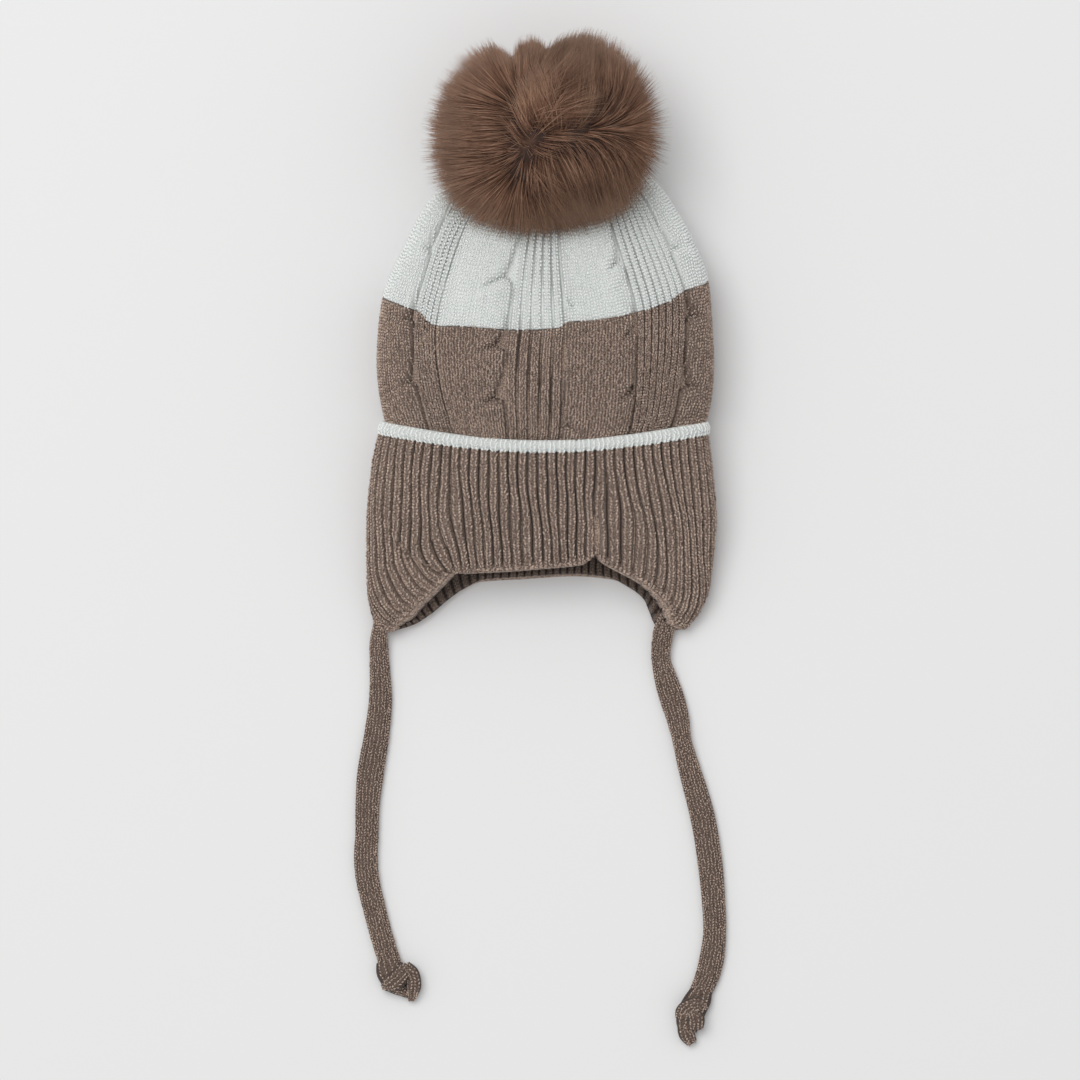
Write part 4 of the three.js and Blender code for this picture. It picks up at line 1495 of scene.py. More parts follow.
    def band(self, rises: Array, depth: float, ribbed: float) -> tuple[Array, Array]:
        """Work out a side of the layer inside the turn-up.

        Args:
            rises: each ring's share of the way from the rim to the edge.
            depth: how deep it lies under the turn-up's skin.
            ribbed: the depth of its grooves, below 0 on its inner side.

        Returns:
            Its points, and its painted shade: none on the outer side, and on the inner side some all
                over, most in the grooves.
        """
        rib = FIRST_RIB + 4 * np.arange(CROWN_COLUMNS) / CROWN_COLUMNS
        grid = np.broadcast_arrays(rib[None, :], rises[:, None])
        skin = Cloth(cuff_skin(*grid, depth + np.zeros_like(grid[0])))
        groove = 1 - np.abs(np.sin(np.pi * np.arange(CROWN_COLUMNS) / COLUMN_SPLIT)) ** 0.6
        deep = groove[None, :] + np.zeros_like(grid[0])
        # Painted shade: the inside of the band is darkened all over, most in its grooves; the outer
        # side gets none.
        return skin.pressed(ribbed * deep).points, (0.45 + 0.55 * deep) * abs(ribbed) / self.inner_rib

    def lower(self) -> None:
        """Make the brown lower crown with the band inside the turn-up."""
        up = self.rows_between(self.first_row, COLOUR_CHANGE)
        outer, groove = self.outside(up)
        rises = np.array([0.0, 0.06, 0.15, 0.35, 0.65, 0.95])
        band_depth = CUFF_WALL + LAYER_GAP
        outer_band, outer_groove = self.band(rises, band_depth, 0.0)
        inner_rises = np.array([0.01, 0.04, 0.08, 0.12, 0.17, 0.22, 0.28, 0.36, 0.5, 0.75, 0.96])
        inner_depth = band_depth + CROWN_WALL
        inner_band, inner_band_shade = self.band(inner_rises, inner_depth, -self.inner_rib)
        inner_up = np.linspace(0.04, COLOUR_CHANGE, 8)
        inner = self.inside(inner_up)
        rings = np.concatenate([outer_band, outer.points, inner[::-1], inner_band[::-1]])
        plain = np.zeros(inner.shape[:2])
        grooves = np.concatenate([outer_groove, groove, plain, inner_band_shade[::-1]])
        depths = [CUFF_DEPTH * (rises - 1), up * CROWN_LENGTH]
        depths += [inner_up[::-1] * CROWN_LENGTH, CUFF_DEPTH * (inner_rises[::-1] - 1)]
        courses = np.concatenate(depths) / self.course
        covered = np.concatenate([rises * 0, up * 0 + 1, inner_up * 0, inner_rises * 0])
        marks = wool_marks(grooves, self.side, courses, covered, self.painted_shade_under_brown)
        settle(shell("knit_crown_lower", rings, self.brown, marks), Yarn.BROWN, "crown_lower")
        legs = self.legs(outer, groove, up, COLOUR_CHANGE)
        self._sew("knit_crown_lower_stitches", legs, self.brown, Yarn.BROWN)

    def upper(self) -> None:
        """Make the white upper crown, gathered to a point."""
        first = COLOUR_CHANGE + SEAM_GAP / CROWN_LENGTH
        up = self.rows_between(first, self.last_row)
        outer, groove = self.outside(up)
        inner_up = np.linspace(first, 0.965, 9)
        inner = self.inside(inner_up)
        rings = np.concatenate([inner[::-1], outer.points])
        grooves = np.concatenate([np.zeros(inner.shape[:2]), groove])
        courses = np.concatenate([inner_up[::-1], up]) * CROWN_LENGTH / self.course
        covered = np.concatenate([inner_up * 0, up * 0 + 1])
        top = crown_skin(np.zeros(1), np.ones(1))[0]
        below = top - np.array([0.0, CROWN_WALL * 2, 0.0])
        marks = wool_marks(grooves, self.side, courses, covered, self.painted_shade_under_white)
        piece = shell("knit_crown_upper", rings, self.white, marks, poles=(below, top))
        settle(piece, Yarn.WHITE, "crown_upper")
        legs = self.legs(outer, groove, up, self.gather_to - 0.06)
        self._sew("knit_crown_upper_stitches", legs, self.white, Yarn.WHITE)

    def leg_columns(self) -> tuple[Array, Array]:
        """Place the lines of stitch legs.

        Returns:
            Each line's column, and its lean.
        """
        legs = []
        start = 0
        for cable, _, _, _, ribs, lines in PANELS.rows:
            count = (len(CABLE_COLUMNS) if cable else 2 * int(ribs)) * COLUMN_SPLIT
            if cable:
                for leg in range(2 * self.cable_wales):
                    share = (leg + 0.5) / (2 * self.cable_wales)
                    spot = np.interp(share, self.share[start : start + count], np.arange(count))
                    legs.append((start + spot, LEG_LEAN if leg % 2 else -LEG_LEAN))
            else:
                for rib in range(int(lines)):
                    for place, way in RIB_LEGS:
                        legs.append((start + (rib + place) * count / lines, way * LEG_LEAN))
            start += count
        columns, leans = (np.array(part) for part in zip(*legs))
        return columns, leans

    def legs(self, cloth: Cloth, groove: Array, up: Array, until: float) -> Seeds:
        """Lay the stitches' legs over the crown, where it is off the floor.

        Args:
            cloth: the knitted surface.
            groove: how deep in a groove each of its points is.
            up: each row's share of the way up.
            until: the share of the way up where the stitches end.

        Returns:
            The seeds of the legs, lying across in the valleys beside the cables.
        """
        columns, leans = self.leg_columns()
        step = self.course / ((up[1] - up[0]) * CROWN_LENGTH)
        last = min(len(up) - 1, (until - up[0]) / (up[1] - up[0]))
        wales = np.arange(len(columns)) // 2
        phase = self.chance.random(wales.max() + 1)[wales]
        rows = (np.arange(int(last / step) + 1)[:, None] + phase[None, :]) * step
        row, column = np.broadcast_arrays(rows, columns[None, :])
        lean = np.broadcast_to(leans[None, :], row.shape)
        at = cloth.at(row, column)
        gap = np.linalg.norm(cloth.at(row, column + 1) - cloth.at(row, column - 1), axis=-1) / 2
        usual = CROWN_WIDTH * 2 * 0.98 / CROWN_COLUMNS
        keep = (at[..., 2] > FLOOR_GAP) & (gap > usual * 0.3) & (row < last)
        deep = cloth.between(groove[..., None], row[keep], column[keep])[..., 0]
        inside = PANELS.column("cable")[self.panel[column[keep].astype(int)]] > 0
        purl = inside & (deep > self.purl_from)
        size = np.clip(gap[keep] / usual, 0.45, 1.15) * np.where(purl, 0.8, 1.0)
        lean = np.where(purl, np.sign(lean[keep]) * self.purl_lean, lean[keep])
        sewn = ~purl | (self.chance.random(len(purl)) < self.purl_share)
        rows, columns = row[keep][sewn], column[keep][sewn]
        return cloth.legs(rows, columns, lean[sewn], size[sewn], 0.3, self.chance)

    def _sew(self, name: str, legs: Seeds, finish: bpy.types.Material, slot: Yarn) -> None:
        """Grow a layer of stitches and let it ride."""
        sizes = stitch_sizes(finish, self.leg, uneven=0.35, seed=5)
        settle(self.stitches.grow(name, legs, sizes), slot)


@dataclass
class TurnUp:
    """The ribbed turn-up with its ear flaps, and the white edging along its upper edge."""

    brown: bpy.types.Material
    white: bpy.types.Material
    stitches: GeometryTree
    split: int = 8
    rows: int = 56
    rib_depth: float = 2.8
    rib_sharpness: float = 0.58
    course: float = 1.66
    crease_depth: float = 4.2
    crease_width: float = 1.9
    proud: float = 3.6
    proud_reach: float = 12.0
    chain: float = 2.7  # length of one link of the bound-off rim
    chain_row: float = 1.3
    rib_wander: float = 0.005
    slack: float = 0.35
    # painted shade between the laid stitches
    painted_shade_under_stitches: float = 0.6
    leg: tuple[float, float, float] = (2.5, 1.75, 1.5)
    leg_place: float = 0.19
    leg_lean: float = 0.45
    leg_groove: float = 0.62
    edging_leg: tuple[float, float, float] = (2.3, 1.6, 1.1)
    edging_leg_place: float = 0.22

    # The creases, each a valley from one place across and down to the next, with the knitting above
    # it standing proud; depth and proud are shares of the full ones
    creases = Table(
        "from_across from_down to_across to_down depth proud",
        (-0.75, 0.54, -0.655, 0.632, 0.8, 0.9),
        (-0.655, 0.632, -0.56, 0.668, 1.0, 1.0),
        (-0.56, 0.668, -0.47, 0.688, 0.8, 0.7),
        (0.3, 0.42, 0.313, 0.6, 0.6, 0.35),
    )

    def __post_init__(self) -> None:
        """Work out the columns."""
        self.columns = RIB_COUNT * self.split
        self.rib = FIRST_RIB + 4 * np.arange(self.columns) / self.columns
        self.turn = np.arange(self.columns) / self.split
        self.groove = 1 - np.abs(np.cos(np.pi * self.turn)) ** self.rib_sharpness
        self.side = np.abs((self.turn % 1) * 2 - 1)
        self.chance = np.random.default_rng(8)

    def crease(self, across: Array, down: Array) -> tuple[Array, Array]:
        """Work out the creases of the turn-up.

        Args:
            across: places across.
            down: shares of the depth below the edge.

        Returns:
            How deep the creases press in, below 0 where the knitting stands proud, and how far each
            point is in one.
        """
        deepest, inside = np.zeros_like(across), np.zeros_like(across)
        for x0, y0, x1, y1, depth, proud in self.creases.rows:
            run_x, run_y = (x1 - x0) * KNIT_ROUND, (y1 - y0) * DEPTH_WITH_FLAPS
            here_x, here_y = (across - x0) * KNIT_ROUND, (down - y0) * DEPTH_WITH_FLAPS
            length = np.hypot(run_x, run_y)
            along = np.clip((here_x * run_x + here_y * run_y) / length**2, 0, 1)
            off = np.hypot(here_x - along * run_x, here_y - along * run_y)
            above = smooth((here_x * run_y - here_y * run_x) / length / 1.2)
            valley = depth * self.crease_depth * bell(off / self.crease_width)
            middle = self.proud_reach / 2
            hill = proud * self.proud * above * bell((off - middle * 0.5) / middle)
            pressed = valley * (1 - 0.6 * above) - hill
            deepest = np.where(np.abs(pressed) > np.abs(deepest), pressed, deepest)
            inside = np.maximum(inside, depth * bell(off / self.crease_width / 0.7))
        left = smooth((across + 0.97) / 0.15) * (np.abs(across) < 1)
        return deepest * left, inside * left

    def outer(self) -> tuple[Cloth, Array]:
        """Work out the ribbed outer surface from the rim to the edge.

        Returns:
            The surface, and how deep in a groove each point is.
        """
        rise = np.linspace(0.0, 1 - SEAM_GAP / CUFF_DEPTH, self.rows) ** 1.15
        rib, rises = np.broadcast_arrays(self.rib[None, :], rise[:, None])
        wander = self.rib_wander * np.sin(9.0 * rises + 23.0 * rib) * np.sin(np.pi * rises)
        skin = Cloth(cuff_skin(rib + wander, rises, np.zeros_like(rises)))
        across, down = cuff_place(rib, rises)
        crease, creased = self.crease(across, down)
        at_rim = 1 - smooth((rises * CUFF_DEPTH - 1.5) / 3.0)
        # The groove mark, painted as shade by the wool, is deepest in the rib grooves and in the
        # creases.
        groove = np.maximum(self.groove[None, :] * (1 - 0.8 * at_rim), creased)
        wave = self.slack * np.sin(rib * 31.0) * np.sin(rises * 5.0)
        wave = wave * standing(skin.points[..., 2])
        depth = rested(groove * self.rib_depth + crease, skin.points[..., 2]) + wave
        return skin.pressed(depth), groove

    def make(self) -> None:
        """Make the turn-up and its stitches."""
        outer, groove = self.outer()
        inner_rise = np.array([0.995, 0.75, 0.5, 0.25, 0.1, 0.0])
        rib, rises = np.broadcast_arrays(self.rib[None, :], inner_rise[:, None])
        inner = cuff_skin(rib, rises, np.full(rises.shape, CUFF_WALL))
        first, last = outer.points[0], inner[-1]
        out = unit(outer.points[0] - outer.points[1])
        turns = np.array([0.25, 0.5, 0.75])[:, None, None]
        hem = mix(last[None], first[None], turns) + out[None] * 0.9 * np.sin(np.pi * turns)
        rings = np.concatenate([outer.points, inner, hem])
        flat = np.zeros((len(inner) + len(hem), self.columns))
        rows = len(outer.points)
        courses = np.concatenate([np.arange(rows) * CUFF_DEPTH / rows, flat[:, 0]]) / self.course
        covered = np.concatenate([np.ones(rows), flat[:, 0]])
        grooves = np.concatenate([groove, flat])
        marks = wool_marks(grooves, self.side, courses, covered, self.painted_shade_under_stitches)
        settle(shell("knit_turn_up", rings, self.brown, marks), Yarn.BROWN, "turn_up")
        legs = Seeds.joined([self.legs(outer, groove), self.chain_line(outer)])
        sizes = stitch_sizes(self.brown, self.leg, uneven=0.35, seed=11)
        settle(self.stitches.grow("knit_turn_up_stitches", legs, sizes), Yarn.BROWN)

    def legs(self, outer: Cloth, groove: Array) -> Seeds:
        """Lay two lines of legs on each rib, off the floor and out of the creases.

        Args:
            outer: the outer surface.
            groove: how deep in a groove each of its points is.

        Returns:
            The seeds of the legs.
        """
        parts = []
        steps = np.linalg.norm(np.diff(outer.points, axis=0), axis=-1)
        for rib in range(RIB_COUNT):
            column = rib * self.split
            run = np.concatenate([[0.0], np.cumsum(steps[:, column])])
            for side in (-1, 1):
                lengths = np.arange(self.chance.uniform(0.3, 1.6), run[-1], self.course)
                rows = np.interp(lengths, run, np.arange(len(run)))
                place = np.full(len(rows), column + side * self.leg_place * self.split)
                keep = outer.at(rows, place)[:, 2] > FLOOR_GAP
                keep &= outer.between(groove[..., None], rows, place)[:, 0] < self.leg_groove
                gap = outer.at(rows, place + 3) - outer.at(rows, place - 3)
                usual = 6 * KNIT_ROUND * 4 / self.columns
                size = np.clip(np.linalg.norm(gap, axis=-1) / usual, 0.6, 1.15)
                lean = np.full(keep.sum(), side * self.leg_lean)
                leg = outer.legs(rows[keep], place[keep], lean, size[keep], 0.35, self.chance)
                parts.append(leg)
        return Seeds.joined(parts)

    def chain_line(self, outer: Cloth) -> Seeds:
        """Lay the chain that binds off the rim: pairs of legs along it, a row above its turn.

        Args:
            outer: the outer surface.

        Returns:
            The seeds of the legs.
        """
        row = np.full(self.columns, self.chain_row)
        around = outer.at(row, np.arange(self.columns, dtype=float))
        steps = np.linalg.norm(np.roll(around, -1, axis=0) - around, axis=-1)
        run = np.concatenate([[0.0], np.cumsum(steps)])
        lengths = np.arange(0.5, run[-1], self.chain)
        column = np.interp(lengths, run, np.arange(len(run)))
        keep = outer.at(np.full(len(column), self.chain_row), column)[:, 2] > 1.5
        parts = []
        for rows, lean in ((0.9, 1.95), (1.7, 1.2)):
            count = keep.sum()
            rim = np.full(count, rows)
            leans, sizes = np.full(count, lean), np.full(count, 1.1)
            parts.append(outer.legs(rim, column[keep], leans, sizes, 0.8, self.chance))
        return Seeds.joined(parts)

    def edging(self) -> None:
        """Make the white edging: a soft welt whose stitches run down onto each rib."""
        profile = Table(
            "rise depth rib",
            (0.08, 0.3, 0.9),
            (0.14, -0.5, 0.7),
            (0.3, -1.0, 0.45),
            (0.5, -1.25, 0.3),
            (0.72, -1.15, 0.3),
            (0.9, -0.6, 0.3),
            (1.02, 0.3, 0.0),
            (1.05, 1.3, 0.0),
            (0.98, 2.3, 0.0),
            (0.7, 2.75, 0.0),
            (0.3, 2.8, 0.0),
            (0.04, 2.8, 0.0),
        )
        tongue = 0.2 * (1 - self.groove)
        level = standing(cuff_skin(self.rib, np.ones(self.columns), np.zeros(self.columns))[:, 2])
        rings, grooves = [], []
        for rise, depth, rib in profile.rows:
            here = rise - tongue * max(0.0, 0.3 - rise) * 4 * (depth < 1)
            pressed = depth + self.groove * 0.8 * rib
            pressed = np.where(depth < 0, pressed * level, pressed)
            rings.append(cuff_skin(self.rib, 1 + here * EDGING_SHARE, pressed))
            grooves.append(self.groove * rib * 0.5)
        rings = np.stack(rings)
        courses, covered = profile.column("rise") * 4, profile.column("rib") > 0
        grooves = np.stack(grooves)
        marks = wool_marks(grooves, self.side, courses, covered * 0.4, self.painted_shade_under_stitches)
        # The groove mark, painted as shade, is deepest in the edging's rib grooves; the whole edging
        # is darkened by at least 0.4 of it.
        marks["groove"] = np.maximum(grooves * 1.9, 0.4)
        settle(shell("knit_edging", rings, self.white, marks), Yarn.WHITE, "white_edging")
        cloth = Cloth(rings[:7])
        parts = []
        ribs = np.arange(RIB_COUNT) * self.split
        for side in (-1, 1):
            for row in np.arange(0.4, 5.6, 0.8):
                place = ribs + side * self.edging_leg_place * self.split
                rows = row + 0.3 * (self.chance.random(RIB_COUNT) - 0.5)
                keep = cloth.at(rows, place)[:, 2] > FLOOR_GAP
                lean, ones = np.full(keep.sum(), side * 0.5), np.ones(keep.sum())
                parts.append(cloth.legs(rows[keep], place[keep], lean, ones, 0.2, self.chance))
        sizes = stitch_sizes(self.white, self.edging_leg, uneven=0.2, seed=17)
        settle(self.stitches.grow("knit_edging_stitches", Seeds.joined(parts), sizes), Yarn.WHITE)


@dataclass
class Pompom:
    """The fur pompom: strands combed out from a crooked parting, over a dark core."""

    finish: bpy.types.Material
    strands: GeometryTree
    centre: tuple[float, float, float] = (2.1, 118.0, 47.0)
    half_height: float = 49.0
    core_share: float = 0.6
    front_count: int = 21500
    back_count: int = 11000
    fine_count: int = 9000
    clumps: int = 1100
    clump_pull: float = 0.3
    comb: float = 1.15
    parting_reach: float = 5.0
    ruffle: float = 0.035
    shorter: float = 0.16
    clump_shorter: float = 0.05
    fringe: float = 1.03
    fringe_from: float = 0.93
    upright: float = 0.45
    valley_width: float = 6.5
    valley_depth: float = 0.3
    top_reach: float = 56.0
    core_size: float = 0.7
    front_from: float = -0.15
    strand_width: float = 0.62
    seed: int = 20

    # The outline seen from above: the angle in degrees from +X and the distance from the centre
    outline = Table(
        "angle reach",
        (-180, 65.5),
        (-150, 69.0),
        (-126, 67.5),
        (-82, 60.0),
        (-56, 63.5),
        (-31, 67.0),
        (-9, 67.5),
        (22, 66.0),
        (50, 62.5),
        (66, 59.0),
        (80, 51.5),
        (88, 46.5),
        (97, 51.5),
        (106, 50.5),
        (113, 45.5),
        (122, 57.0),
        (144, 61.5),
        (163, 63.0),
        (180, 65.5),
    )

    # The parting's stretches, seen from above
    parting = Table(
        "x0 y0 x1 y1",
        (-8.1, 124.0, -8.1, 101.0),
        (-8.1, 104.5, -2.7, 106.4),
        (-2.7, 106.4, 12.4, 112.9),
        (12.4, 112.9, 33.0, 116.6),
    )

    def reach(self, way: Array) -> Array:
        """Find the fur's outer form.

        Args:
            way: directions from the pompom's centre.

        Returns:
            The point of the form in each direction.
        """
        angle = np.degrees(np.arctan2(way[:, 1], way[:, 0]))
        flat = np.linalg.norm(way[:, :2], axis=1)
        wide = self.outline.curves()["reach"](angle)
        blend = smooth(flat * 1.4 - 0.2)
        wide = mix(self.top_reach, wide, blend)
        scale = 1 / np.sqrt((flat / wide) ** 2 + (way[:, 2] / self.half_height) ** 2)
        return np.array(self.centre) + way * scale[:, None]

    def parted(self, points: Array) -> tuple[Array, Array]:
        """Find how the hair at points is combed.

        Args:
            points: the points.

        Returns:
            The way in which each is combed, seen from above, and its distance from the parting.
        """
        way = np.zeros((len(points), 2))
        total = np.zeros(len(points))
        best = np.full(len(points), 1e9)
        for stretch in self.parting.rows:
            start, run = stretch[:2], stretch[2:] - stretch[:2]
            t = np.clip(((points[:, :2] - start) @ run) / (run @ run), 0, 1)
            off = points[:, :2] - (start + t[:, None] * run)
            distance = np.maximum(np.linalg.norm(off, axis=1), 0.5)
            weight = distance**-4.0
            way += off / distance[:, None] * weight[:, None]
            total += weight
            best = np.minimum(best, distance)
        strength = smooth(best / self.parting_reach + 0.3)
        return way / total[:, None] * strength[:, None], best

    def crown_room(self, points: Array) -> tuple[Array, Array, Array]:
        """Find the crown under or over points.

        Args:
            points: the points.

        Returns:
            The crown's lowest and highest level there, and whether the crown is there at all.
        """
        up = np.clip(points[:, 1] / CROWN_LENGTH + WIDEST, 0, 1)
        reach = CROWN_CURVES["half"](up) * CROWN_WIDTH / 2 + 1e-6
        across = np.clip((points[:, 0] - self.centre[0]) / reach, -1, 1)
        up = np.clip(up + CROWN_CURVES["sag"](up) * frontness(across), 0, 1)
        half = CROWN_CURVES["half"](up) * CROWN_WIDTH / 2
        middle = CROWN_CURVES["shift"](up) * CROWN_WIDTH
        top = CROWN_CURVES["loft"](up) * CROWN_LOFT
        bottom = CROWN_CURVES["lift"](up) * CROWN_LOFT
        fold = mix(bottom, top, FOLD_HEIGHT)
        off = np.clip(np.abs(points[:, 0] - middle) / np.maximum(half, 1e-6), 0, 1)
        high = fold + (top - fold) * (1 - off ** (2 / DOME)) ** (DOME / 2)
        low = bottom + (fold - bottom) * off**4
        there = (off < 1) & (up < 0.995)
        return low, high, there

    def clear(self, points: Array, gap: Array) -> Array:
        """Move points out of the crown and off the floor.

        Args:
            points: the points.
            gap: the gap that each keeps to the crown.

        Returns:
            The moved points.
        """
        low, high, there = self.crown_room(points)
        middle = (low + high) / 2
        z = points[:, 2]
        over = there & (z > middle) & (z < high + gap)
        under = there & (z <= middle) & (z > low - gap)
        z = np.where(over, high + gap, np.where(under, low - gap, z))
        return np.column_stack([points[:, :2], np.maximum(z, 0.4)])

    def core(self) -> None:
        """Make the dark core that closes the fur."""
        rings, around = 34, 60
        tilt = np.linspace(np.pi / 2, -np.pi / 2, rings + 2)[1:-1]
        turn = np.linspace(0, 2 * np.pi, around, endpoint=False)
        t, a = np.meshgrid(tilt, turn, indexing="ij")
        way = np.stack([np.cos(t) * np.cos(a), np.cos(t) * np.sin(a), np.sin(t)], -1).reshape(-1, 3)
        lump = 1 + 0.04 * np.sin(7 * way[:, 0] + 5 * way[:, 1]) * np.cos(9 * way[:, 2])
        centre = np.array(self.centre)
        points = centre + (self.reach(way) - centre) * (self.core_size * lump)[:, None]
        points = self.clear(points, np.full(len(points), 0.5)).reshape(rings, around, 3)
        pole = np.array([0.0, 0.0, self.half_height * self.core_size])
        ends = (centre - pole, centre + pole)
        piece = shell("fur_core", points[::-1], self.finish, {}, poles=ends)
        settle(piece, Yarn.FUR, "pompom")

    def seeds(self, count: int, front: bool, chance: np.random.Generator) -> Seeds:
        """Scatter strands over one half of the core.

        Args:
            count: how many strands.
            front: the upper half, or the lower one.
            chance: the source of random numbers.

        Returns:
            The seeds of the strands.
        """
        way = unit(chance.normal(size=(count * 3, 3)))
        in_front = way[:, 2] > self.front_from
        way = way[in_front if front else ~in_front][:count]
        hubs = unit(chance.normal(size=(self.clumps, 3)))
        hub = np.argmax(way @ hubs.T, axis=1)
        centre = np.array(self.centre)
        root = centre + (self.reach(way) - centre) * self.core_share

        def tips(start: Array, directions: Array) -> Array:
            """Find which way hair grows.

            Args:
                start: its roots.
                directions: the way from the centre to each root.

            Returns:
                The direction of each hair's tip from the centre.
            """
            swept = self.parted(start)[0]
            amount = self.comb * np.clip(directions[:, 2] + 0.25, 0, 1) ** 0.5
            lean = np.column_stack([swept * amount[:, None], np.zeros(len(start))])
            back = directions * np.array([0.35, 0.35, 0])
            return unit(directions + lean + back)

        own = tips(root, way)
        hub_root = centre + (self.reach(hubs) - centre) * self.core_share
        shared = tips(hub_root, hubs)[hub]
        pull = self.clump_pull * chance.uniform(0.3, 1.3, len(way))[:, None]
        aim = unit(mix(own, shared, pull) + chance.normal(scale=self.ruffle, size=way.shape))
        long = 1.0 - self.shorter * chance.random(len(way)) ** 1.6
        long = long - self.clump_shorter * chance.random(self.clumps)[hub]
        long = np.where(chance.random(len(way)) > self.fringe_from, self.fringe, long)
        tip = centre + (self.reach(aim) - centre) * long[:, None]
        valley = bell(self.parted(tip)[1] / self.valley_width) * smooth((tip[:, 2] - 50.0) / 15.0)
        tip = centre + (tip - centre) * (1 - self.valley_depth * valley)[:, None]
        tip = self.clear(tip, 1.0 + 7.0 * chance.random(len(way)) ** 2)
        low, high, there = self.crown_room(root)
        buried = there & (root[:, 2] > low - 1) & (root[:, 2] < high + 1)
        root, tip, way = root[~buried], tip[~buried], way[~buried]
        root[:, 2] = np.maximum(root[:, 2], 0.8)
        straight = tip - root
        length = np.linalg.norm(straight, axis=1)
        along = unit(self.upright * way + (1 - self.upright) * unit(straight))
        bend = straight - along * length[:, None]
        size = chance.uniform(0.7, 1.3, len(root))
        return Seeds(root, {"along": along, "bend": bend}, {"size": size, "reach": length})

    def make(self) -> None:
        """Make the core and the strands."""
        self.core()
        chance = np.random.default_rng(self.seed)
        for name, count, front in (
            ("fur_strands_front", self.front_count, True),
            ("fur_strands_fine", self.fine_count, True),
            ("fur_strands_back", self.back_count, False),
        ):
            seeds = self.seeds(count, front, chance)
            sizes = {"Thickness": self.strand_width * MM, "Seed": 3, "Material": self.finish}
            settle(self.strands.grow(name, seeds, sizes), Yarn.FUR)


TIE_LEG = (2.1, 1.25, 1.2)  # length, width and thickness of a stitch's leg on the ties
LEFT_ROUTE = Table(
    "x y z width",
    (-87.6, -145, 7.0, 0.72),
    (-87.8, -152, 6.2, 0.72),
    (-88.1, -160, 4.2, 0.74),
    (-87.6, -172, 2.9, 0.8),
    (-87.2, -189.5, 2.6, 0.93),
    (-89.5, -210, 2.6, 1.02),
    (-92.6, -229, 2.7, 1.08),
    (-94.2, -246, 2.8, 0.98),
    (-94.6, -262, 2.9, 0.94),
    (-95.2, -275, 3.0, 0.96),
    (-94.2, -287, 2.8, 0.94),
    (-91, -301, 2.6, 0.92),
    (-86, -320, 2.6, 0.9),
    (-81.2, -335, 3.0, 0.9),
)
RIGHT_ROUTE = Table(
    "x y z width",
    (71, -140, 6.8, 0.85),
    (67.6, -148, 6.2, 0.85),
    (65.7, -157, 4.2, 0.8),
    (65.2, -167, 3.2, 0.76),
    (67.6, -177.5, 2.8, 0.9),
    (71.0, -188, 2.6, 1.0),
    (74.2, -199, 3.0, 0.92),
    (76.7, -212, 3.4, 0.76),
    (80, -225, 2.9, 0.86),
    (84.4, -240, 2.6, 0.96),
    (88.4, -256, 2.6, 1.0),
    (91.6, -276, 2.6, 1.0),
    (93.6, -297, 2.6, 0.95),
    (94.3, -315, 2.8, 0.92),
    (92.6, -331, 2.7, 1.0),
    (89, -343, 2.8, 0.94),
    (85.2, -351, 3.2, 0.85),
)


def along_points(points: Array, step: float) -> tuple[Array, Array]:
    """Run a smooth line through points.

    Args:
        points: the points.
        step: the distance between the line's own points.

    Returns:
        The line's points, and the place of each among the given ones.
    """
    gaps = np.sqrt(np.linalg.norm(np.diff(points, axis=0), axis=1))
    knots = np.concatenate([[0.0], np.cumsum(gaps)])
    dense = np.linspace(0, knots[-1], 60 * len(points))
    first, last = 2 * points[0] - points[1], 2 * points[-1] - points[-2]
    ends = np.vstack([first, points, last])
    times = np.concatenate([[-gaps[0]], knots, [knots[-1] + gaps[-1]]])
    i = np.clip(np.searchsorted(knots, dense, side="right") - 1, 0, len(points) - 2)
    t = dense[:, None]
    p = [ends[i + k] for k in range(4)]
    s = [times[i + k][:, None] for k in range(4)]

    def between(a: Array, b: Array, low: Array, high: Array) -> Array:
        """Return a point on the straight line between two timed ones."""
        return a * (high - t) / (high - low) + b * (t - low) / (high - low)

    a1, a2, a3 = (between(p[k], p[k + 1], s[k], s[k + 1]) for k in range(3))
    b1, b2 = between(a1, a2, s[0], s[2]), between(a2, a3, s[1], s[3])
    line = between(b1, b2, s[1], s[2])
    run = np.concatenate([[0.0], np.cumsum(np.linalg.norm(np.diff(line, axis=0), axis=1))])
    count = max(2, int(round(run[-1] / step)) + 1)
    even = np.linspace(0, run[-1], count)
    spots = np.column_stack([np.interp(even, run, line[:, k]) for k in range(3)])
    place = np.interp(even, run, i + (dense - knots[i]) / (knots[i + 1] - knots[i]))
    return spots, place


